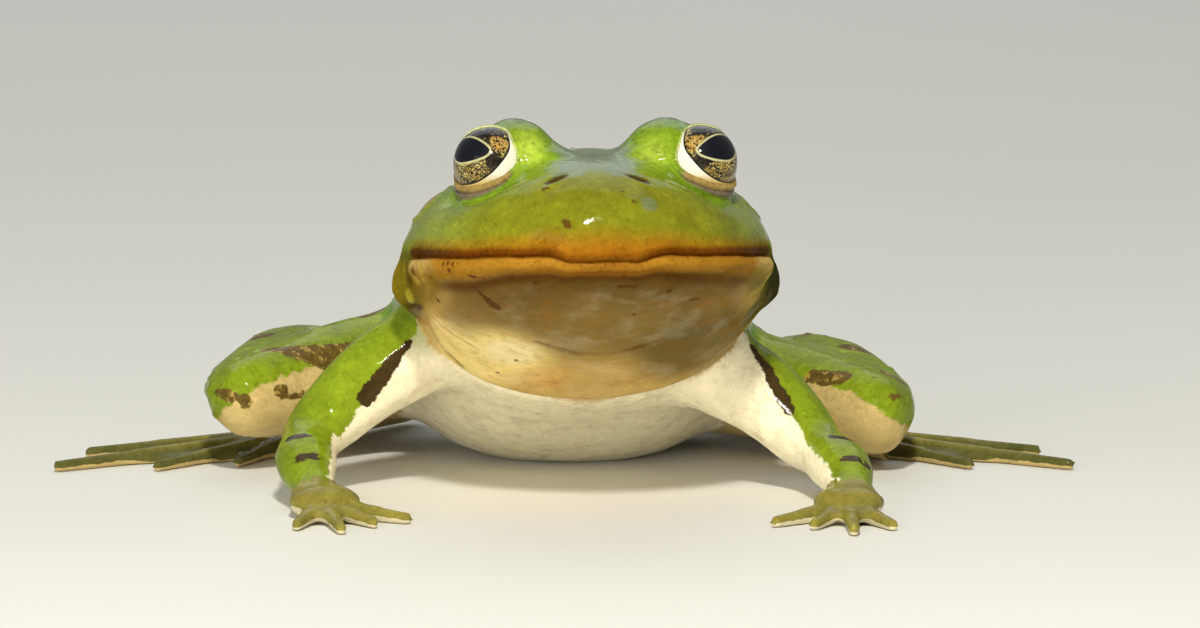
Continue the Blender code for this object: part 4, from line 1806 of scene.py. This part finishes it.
    def lid_reach(self, socket: EyeSocket, near: Array) -> Array:
        """How far points of the skin lie from the lids' edge, negative where they are hidden.

        Args:
            socket: The eye.
            near: Which points.

        Returns:
            The distances in millimetres.
        """
        offsets = self.head[near] - socket.centre
        length = np.linalg.norm(offsets, axis=1)
        lid, _ = socket.lid_distance(offsets / length[:, None])
        hidden = (lid < 0) & (length < socket.radius + 0.05)
        return np.where(hidden, -0.2, socket.skin_distance(offsets))

    # -------- painting

    def paint(self) -> None:
        """Stores the skin's tones, edges, marks and grain on its points."""
        fields = {
            "upper_tone": self.upper_tone(),
            "under_tone": self.under_tone(),
            "edge": self.green_edge(),
            "ragged": np.where(self.on("head", "lower_jaw", "eardrum"), 0.12, 0.8),
            "mark": self.mark_distance(),
            "marbled": np.where(self.on("thigh", "shank", "foot"), 0.7, 0.0),
            "dirt": self.dirt_and_shade_distance(),
            "warm": self.warmth(),
            "wet": self.wetness(),
            "lip": self.on("head", "lower_jaw") * 0.6 * bell(self.lip_height(), -0.6, 2.0),
            "grain": self.grain(),
            "slack": self.slack(),
        }
        for name, values in fields.items():
            store(self.mesh, name, np.asarray(values, float))

    def upper_tone(self) -> Array:
        """Paints the frog's upper side.

        Returns:
            A colour for each point.
        """
        tone = np.tile(np.array(self.finish.green), (len(self.points), 1))
        on_head = self.on("head", "lower_jaw", "trunk", "eardrum")
        on_head = smoothstep(7.0, 2.0, self.outward[:, 1]) * on_head
        tone = laid(tone, self.limb_layers())
        tone = laid(tone, self.face_layers(on_head))
        tone = laid(tone, self.crown_layers(on_head))
        tone = laid(tone, self.lip_layers(on_head))
        tone = laid(tone, self.back_layers(on_head))
        return self.lid_tones(tone)

    def limb_layers(self) -> list[Layer]:
        """The greens and browns of the limbs.

        Returns:
            The layers, in order.
        """
        f = self.finish
        return [
            (f.leg_green, self.on("thigh", "shank", "upper_arm", "forearm") * 1.0),
            (f.foot_brown, self.on("foot", "hand") * 0.75),
            (f.web_olive, self.on("foot") * smoothstep(2.2, 1.2, self.points[:, 2])),
        ]

    def face_layers(self, on_head: Array) -> list[Layer]:
        """The greens of the cheeks, the snout and the brows, and a painted highlight on the inner side of
        each brow.

        Args:
            on_head: How much each point belongs to the head.

        Returns:
            The layers, in order.
        """
        f = self.finish
        x, y, z = self.outward.T
        brow = bell(spread(self.outward, (8.6, -14.0, 11.4), (1.0, 0.8, 0.75)), 0.0, 5.0)
        # Painted highlights on the inner side of each brow.
        right = bell(spread(self.head, (-7.6, -14.4, 12.2), (1.0, 0.7, 0.75)), 0.0, 2.0)
        left = bell(spread(self.head, (7.0, -14.4, 11.6), (1.0, 0.7, 0.75)), 0.0, 2.0)
        return [
            (f.cheek, on_head * smoothstep(9.0, 5.0, z) * smoothstep(8.0, 15.0, x)),
            (f.sac_olive, on_head * smoothstep(1.6, 0.2, z) * smoothstep(20.6, 21.6, x)),
            (f.snout_green, on_head * smoothstep(-14.0, -25.0, y)),
            (f.brow_green, on_head * np.minimum(brow * 1.25, 1.0)),
            (f.painted_brow_highlight, on_head * right * 0.7),
            (f.painted_brow_highlight, on_head * left * 0.6),
        ]

    def crown_layers(self, on_head: Array) -> list[Layer]:
        """Painted sky reflection: grey on the crown, on the brows' upward-facing tops and on the knob on
        the snout.

        Args:
            on_head: How much each point belongs to the head.

        Returns:
            The layers, in order.
        """
        reflected_grey = self.finish.crown_sky_reflection
        x, y, z = self.outward.T
        # Grey painted where the head's top would reflect a pale sky.
        level = 9.9 - 0.12 * x + 0.25 * np.sin(x * 2.1)
        width = 4.6 + 0.3 * np.sin(y * 1.3) + 0.3 * np.sin(y * 2.9 + x) - 0.16 * np.clip(y + 17, 0, 30)
        crown = on_head * smoothstep(0.7, -0.6, x - width) * smoothstep(-0.25, 0.25, z - level)
        crown = crown * smoothstep(-25.0, -24.0, y) * smoothstep(-1.0, -11.0, y)
        top = on_head * smoothstep(0.8, 0.97, self.normals[:, 2]) * smoothstep(14.2, 16.4, z)
        knob = spread(self.head, (5.8, -27.4, 6.2))
        return [(reflected_grey, crown * 0.9), (reflected_grey, top * 0.8), (reflected_grey, smoothstep(1.3, 0.8, knob) * 0.6)]

    def lip_layers(self, on_head: Array) -> list[Layer]:
        """The orange of the upper lip, a brown band of painted shade under its overhang, and painted shade
        in the corners of the mouth and in the nostrils.

        Args:
            on_head: How much each point belongs to the head.

        Returns:
            The layers, in order.
        """
        f = self.finish
        x, y, _ = self.outward.T
        height = self.lip_height()
        ends = smoothstep(21.4, 20.4, x)
        lip = on_head * ends * smoothstep(2.8 + 2.4 * bell(x, 0.0, 8.0), 0.9, height)
        # A brown band of painted shade under the upper lip's overhang.
        band = on_head * ends * smoothstep(1.35, 0.55, height)
        # Painted shade in the corners of the mouth and in the nostril slits.
        corner = on_head * smoothstep(16.0, 19.5, x) * bell(height, 0.5, 0.9)
        nostril, along = path_distance(self.outward, NOSTRIL)
        wide = 0.36 + 0.22 * np.sin(np.pi * along)
        return [
            (f.lip_orange, lip * (0.55 + 0.4 * smoothstep(15.0, 3.0, x))),
            (f.lip_shade_brown, band * (0.5 + 0.5 * smoothstep(3.0, 7.0, x))),
            (f.nostril, corner * smoothstep(-7.5, -9.5, y) * 0.75),
            (f.nostril, smoothstep(0.26, -0.1, nostril - wide) * 0.94),
        ]

    def back_layers(self, on_head: Array) -> list[Layer]:
        """The gold of the eardrums and the folds, and the pale stripe down the back.

        Args:
            on_head: How much each point belongs to the head.

        Returns:
            The layers, in order.
        """
        f = self.finish
        y = self.outward[:, 1]
        back = self.on("trunk", "head") * smoothstep(0.0, 0.4, self.normals[:, 2]) * (y > -2)
        stripe = back * smoothstep(1.3, 0.7, np.abs(self.body[:, 0]))
        return [
            (f.fold_gold, on_head * smoothstep(3.2, 2.4, self.drum) * 0.8),
            (f.fold_gold, back * bell(self.fold, 0.0, 1.0)),
            (f.back_stripe, stripe * (y > 2)),
        ]

    def lid_tones(self, tone: Array) -> Array:
        """Adds the pale rims and the lower lids' bands to the tones.

        Args:
            tone: Rows of colours.

        Returns:
            The changed rows.
        """
        f = self.finish
        for side in Side:
            socket = self.socket(side)
            near = self.near_eye(socket)
            rays = self.head[near] - socket.centre
            lid, turn = socket.lid_distance(rays / np.linalg.norm(rays, axis=1)[:, None])
            away = self.lid_reach(socket, near)
            low_side = smoothstep(-0.25, -0.5, np.sin(turn))
            inner = smoothstep(3.0, -1.0, rays[:, 0] * side.value)
            fold = smoothstep(0.4, 0.0, away - 1.22 + 0.3 * inner)
            streak_spot = socket.direction(-39, -13) * (socket.radius + 0.3)
            streak = spread(rays, streak_spot, (1.0, 1.0, 0.5))
            layers = [
                (f.brow_green, low_side * smoothstep(4.2, 2.0, away) * 0.8),
                (f.lid_cream, (1 - low_side) * smoothstep(0.16, 0.05, away)),
                (f.lid_lavender, low_side * fold),
                (f.mark_brown, low_side * bell(away, 0.68, 0.14) * 0.8),
                (f.lid_gold, low_side * smoothstep(0.66, 0.5, away)),
                (f.mark_dark, smoothstep(0.5, 0.25, streak) * (lid > 0.1)),
            ]
            tone[near] = laid(tone[near], layers)
        return tone

    def under_tone(self) -> Array:
        """Paints the frog's under side.

        Returns:
            A colour for each point.
        """
        f = self.finish
        jaw = self.on("lower_jaw", "head") * 1.0
        shoulder = spread(self.head, (-19.4, 5.0, -7.6))
        rim, _ = path_distance(self.head, LIP_RIM)
        tone = np.tile(np.array(f.chest), (len(self.points), 1))
        layers = [
            (f.belly, smoothstep(4.0, 12.0, self.body[:, 1])),
            (f.leg_tan, self.on("thigh", "shank", "foot") * 0.85),
            (f.foot_brown, self.on("hand") * 0.3),
            *self.throat_layers(jaw),
            *self.lower_lip_layers(jaw),
            (f.leg_green, (1 - jaw) * smoothstep(4.6, 1.6, shoulder) * 0.6),
            (f.sac_rim, jaw * bell(rim, 0.0, 0.4) * 0.6),
        ]
        return laid(tone, layers)

    def throat_layers(self, jaw: Array) -> list[Layer]:
        """The throat's own colour, painted shade on its middle, painted light and shade from its pale side
        to its dusky one, and painted shade under the lip.

        Args:
            jaw: 1 for the points of the jaw and the head, else 0.

        Returns:
            The layers, in order.
        """
        f = self.finish
        x, y, z = self.outward.T
        # Painted shade on the middle of the throat, under the jaw.
        middle = smoothstep(19.0, 9.0, x) * smoothstep(-15.5, -9.5, z) * smoothstep(-3.0, -12.0, y)
        shade = smoothstep(-8.0, -2.6, self.lip_height()) * smoothstep(19.5, 16.0, x) * (y < -8.0)
        return [
            (f.throat, jaw),
            (f.throat_middle_shade, jaw * middle * 0.9),
            *[(tint.colour, jaw * tint.cover(self.head)) for tint in THROAT_LIGHT_AND_SHADE],
            (f.throat_shade, jaw * shade * 0.7),
        ]

    def lower_lip_layers(self, jaw: Array) -> list[Layer]:
        """The lower lip, the corners of the mouth and the vocal sacs, with painted light and shade on
        them, and painted shade under the lip, in the creases and in the mouth's groove.

        Args:
            jaw: 1 for the points of the jaw and the head, else 0.

        Returns:
            The layers, in order.
        """
        f = self.finish
        x, y, z = self.outward.T
        height = self.lip_height()
        lip = jaw * smoothstep(20.4, 18.4, x) * (y < -8.0)
        orange = lip * bell(height, -1.5, 0.3) * smoothstep(12.0, 5.0, x)
        sac = jaw * smoothstep(-10.5, -7.5, y) * smoothstep(18.6, 20.4, x)
        # Painted shade in the mouth's groove.
        seam = smoothstep(21.2, 20.4, x) * smoothstep(-0.28, -0.05, height)
        return [
            (f.lower_lip, lip * smoothstep(-2.05, -1.4, height)),
            (f.lip_shadow, lip * bell(height, -2.2, 0.45) * 0.8),
            (f.lip_orange, orange * 0.6),
            (f.sac_olive, sac * smoothstep(-8.6, -6.6, z)),
            *[(tint.colour, jaw * tint.cover(self.head)) for tint in CORNER_TINTS_LIGHT_AND_SHADE],
            (f.lip_shadow, jaw * self.creases()),
            (f.lip_shade_brown, jaw * seam),
        ]

    def creases(self) -> Array:
        """How deep in one of the face's grooves each point lies.

        Returns:
            0 to 0.8, point by point.
        """
        deepest = np.zeros(len(self.points))
        for stroke in FACE_STROKES:
            if stroke.shape is Shape.GROOVE:
                distance, _ = path_distance(self.head, stroke.path)
                crease = bell(distance, 0.0, stroke.width) * min(0.3 + stroke.depth, 0.8)
                deepest = np.maximum(deepest, crease)
        return deepest

    def green_edge(self) -> Array:
        """How far past the edge between green and pale each point lies.

        Returns:
            The distances, positive on the green side.
        """
        edge = np.full(len(self.points), 3.0)
        height = self.head[:, 2] - self.mouth_line(self.head)
        edge = np.where(self.on("head", "lower_jaw", "eardrum"), height * 2.0, edge)
        across, behind, up = self.body.T
        flank = (up - 14.0 + 0.12 * np.clip(behind, 0, 40)) * 0.8
        flank = flank + 8.0 * smoothstep(30.0, 38.0, behind)
        limbs = {
            "forearm": (-0.55, 0.1, 0.83),
            "thigh": (-0.45, 0.45, 0.77),
            "shank": (-0.2, 0.2, 0.95),
        }
        for part, facing in limbs.items():
            for side in Side:
                name = side.named(part)
                here = self.owner == self.names.index(name)
                edge[here] = self.limb_edge(name, side, facing)[here]
        for side, border in ARM_BORDERS.items():
            spots = np.array(sorted(border, key=lambda spot: spot[1]))
            limit = np.interp(up, spots[:, 1], spots[:, 0])
            outer = (across * side.value - limit) * 0.9
            here = self.on(side.named("upper_arm"))
            edge[here] = outer[here]
            here = self.on("trunk") & (across * side.value >= 0)
            front = smoothstep(8.0, -2.0, behind) * smoothstep(25.0, 22.6, up)
            edge[here] = (outer * front + flank * (1 - front))[here]
        low = self.on("hand", "foot")
        edge[low] = (self.normals[low, 2] + 0.2) * 3.0
        soft = edge
        for _ in range(self.edge_rounds):
            soft = self.averaged(soft)
        return np.where(self.on("thigh", "shank"), soft, edge)

    def limb_edge(self, name: str, side: Side, facing: Triple) -> Array:
        """How far round a limb each point lies on its green side.

        Args:
            name: The limb's solid.
            side: Which side of the frog.
            facing: The way the green faces on the right limb.

        Returns:
            The distance past the limb's middle, in millimetres.
        """
        toward = np.array((facing[0] * -side.value, facing[1], facing[2]))
        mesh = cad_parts[name].data
        cloud = np.array([v.co for v in mesh.vertices]) / MM
        middle = cloud.mean(axis=0)
        _, _, axes = np.linalg.svd(cloud - middle, full_matrices=False)
        along = axes[0]
        toward -= along * (toward @ along)
        toward /= np.linalg.norm(toward)
        return (self.points - middle) @ toward

    def mark_distance(self) -> Array:
        """How far each point lies outside the nearest dark mark.

        Returns:
            The distances, negative inside.
        """
        nearest = np.full(len(self.points), FAR)
        for mark in BODY_MARKS:
            distance, along = surface_distance(self.body, self.normals, mark.path)
            width = mark.radii[0] + (mark.radii[1] - mark.radii[0]) * along
            nearest = np.minimum(nearest, distance - width)
        nearest[self.on("head", "lower_jaw", "eardrum")] = FAR
        flat = self.body[:, :2]
        back = self.on("trunk", "head") & (self.normals[:, 2] > 0.0) & (self.head[:, 1] > 0)
        for across, behind, width in BACK_SPOTS:
            distance = spread(flat, (across, behind), (1.0, 1.0)) - width
            nearest = np.where(back, np.minimum(nearest, distance), nearest)
        return nearest

    def dirt_and_shade_distance(self) -> Array:
        """How far each point lies outside the nearest speck of dirt, or the painted shade in the right
        corner of the mouth.

        Returns:
            The distances, negative inside.
        """
        nearest = np.full(len(self.points), FAR)
        for mark in FACE_DIRT_AND_SHADE:
            closest = [np.argmin(np.linalg.norm(self.head - spot, axis=1)) for spot in mark.path]
            distance, along = path_distance(self.head, self.head[closest])
            width = mark.radii[0] + (mark.radii[1] - mark.radii[0]) * along
            nearest = np.minimum(nearest, distance - width)
        return nearest

    def warmth(self) -> Array:
        """How blotched the pale skin is.

        Returns:
            0 to 1, point by point.
        """
        blotched = self.on("lower_jaw", "upper_arm", "trunk") * 0.6
        below_lip = smoothstep(-2.4, -5.0, self.lip_height())
        return np.where(self.on("lower_jaw", "head"), 0.85 * below_lip, blotched)

    def wetness(self) -> Array:
        """How wet the skin looks: least on the jaw, the lips and the sacs.

        Returns:
            0 to 1, point by point.
        """
        dry = np.maximum(self.on("lower_jaw") * 1.0, smoothstep(2.6, 1.2, self.lip_height()))
        dry = dry + 0.2 * smoothstep(18.6, 20.4, self.outward[:, 0])
        dry = np.where(self.on("head", "lower_jaw", "eardrum"), dry, 0.4)
        return 1.0 - 0.8 * dry

    def grain(self) -> Array:
        """How granular the skin is.

        Returns:
            0 to about 1, point by point.
        """
        grain = np.where(self.on("head", "eardrum"), 0.5, 0.35)
        brow = bell(spread(self.outward, (9.4, -10.5, 10.5)), 0.0, 7.0)
        grain = grain + 0.6 * brow - 0.3 * smoothstep(-18.0, -24.0, self.head[:, 1])
        grain = np.where(self.on("lower_jaw"), 0.2, grain)
        grain = np.where(self.on("trunk", "thigh", "shank"), 0.6, grain)
        return grain * (1 - 0.7 * smoothstep(0.25, -0.35, self.normals[:, 2]))

    def slack(self) -> Array:
        """How creased the skin is, point by point."""
        slack = np.where(self.on("lower_jaw", "trunk"), 0.26, 0.12)
        return np.where(self.on("upper_arm", "forearm"), 0.25, slack)


def laid(tone: Array, layers: list[Layer]) -> Array:
    """Lays colours over rows of colours, one after the other.

    Args:
        tone: Rows of colours.
        layers: The colours laid on.

    Returns:
        The new rows.
    """
    for colour, amount in layers:
        share = np.clip(np.asarray(amount, float), 0, 1)[:, None]
        tone = tone * (1 - share) + np.array(colour) * share
    return tone


# ------------------------------------------------------------------------------ studio


@dataclass
class Studio:
    """The floor, the lights and the camera."""

    frames: Frames
    floor: FloorFinish = field(default_factory=FloorFinish)
    lift: float = 4.0  # watts, of the light that only brightens the under side
    floor_size: float = 6.0  # metres
    azimuth: float = -3.5  # degrees round the frog, negative toward its right
    elevation: float = 7.5
    distance: float = 1.8  # metres
    frame_width: float = 141.2  # millimetres across the picture, at the face

    def build(self) -> list[bpy.types.Object]:
        """Makes the floor, the lights and the camera.

        Returns:
            The floor.
        """
        self.make_camera()
        self.make_lights()
        return [self.make_floor()]

    def make_floor(self) -> bpy.types.Object:
        """A wide plane at the frog's feet.

        Returns:
            The floor.
        """
        bm = bmesh.new()
        bmesh.ops.create_grid(bm, x_segments=1, y_segments=1, size=self.floor_size / 2)
        mesh = bpy.data.meshes.new("floor")
        bm.to_mesh(mesh)
        bm.free()
        mesh.materials.append(self.floor.material())
        floor = placed("floor", mesh)
        return floor

    def make_camera(self) -> None:
        """A long lens, low in front of the frog."""
        a, e = math.radians(self.azimuth), math.radians(self.elevation)
        back = Vector((math.sin(a) * math.cos(e), -math.cos(a) * math.cos(e), math.sin(e)))
        aim = self.frames.origin + np.array((1.06, -10.0, -5.45))
        target = Vector(aim) * MM
        data = bpy.data.cameras.new("camera")
        data.sensor_width = 36.0
        data.lens = self.distance * data.sensor_width / (self.frame_width * MM)
        data.clip_end = 50.0
        camera = placed("camera", data)
        camera.location = target + back * self.distance
        camera.rotation_euler = back.to_track_quat("Z", "Y").to_euler()
        bpy.context.scene.camera = camera

    def make_lights(self) -> None:
        """A key high in front, a lift low, a fill, a sheen from behind and a pale room."""
        scene = bpy.context.scene
        world = bpy.data.worlds.new("room")
        world.use_nodes = True
        world.node_tree.nodes["Background"].inputs["Color"].default_value = (0.97, 0.97, 0.94, 1)
        world.node_tree.nodes["Background"].inputs["Strength"].default_value = 0.28
        scene.world = world
        scene.view_settings.view_transform = "Standard"
        self.add_light("key", (-0.04, -0.62, 0.58), 0.075, 6.1, (1.0, 0.96, 0.86))
        lift = self.add_light("lift", (-0.25, -0.8, 0.06), 0.3, self.lift, (1.0, 0.97, 0.9))
        lift.visible_glossy = False
        self.add_light("fill", (-0.6, -0.7, 0.25), 0.5, 1.0, (1.0, 0.98, 0.95))
        self.add_light("sheen", (0.0, 0.75, 0.75), 0.9, 2.4, (0.92, 0.96, 1.0))

    def add_light(
        self, name: str, place: Triple, size: float, power: float, colour: Triple
    ) -> bpy.types.Object:
        """One square light that faces the frog's head.

        Args:
            name: The light's name.
            place: Where it hangs, in metres.
            size: Its width, in metres.
            power: Its power, in watts.
            colour: Its colour.

        Returns:
            The light.
        """
        data = bpy.data.lights.new(name, "AREA")
        data.shape = "SQUARE"
        data.size = size
        data.energy = power
        data.color = colour
        light = placed(name, data)
        light.location = place
        away = Vector(place) - Vector(self.frames.origin) * MM
        light.rotation_euler = away.to_track_quat("Z", "Y").to_euler()
        return light


# ------------------------------------------------------------------------------ main


def main() -> None:
    """Builds the frog, then the studio round it."""
    logging.basicConfig(level=logging.INFO, format="%(name)s: %(message)s")
    frames = Frames.measured()
    skin = Skin(frames).build()
    LOG.info("%s: %d faces", skin.name, len(skin.data.polygons))
    for eye in Eyes(frames).build():
        LOG.info("%s: %d faces", eye.name, len(eye.data.polygons))
    for stage in Studio(frames).build():
        LOG.info("%s: laid", stage.name)


if __name__ == "__main__":
    main()
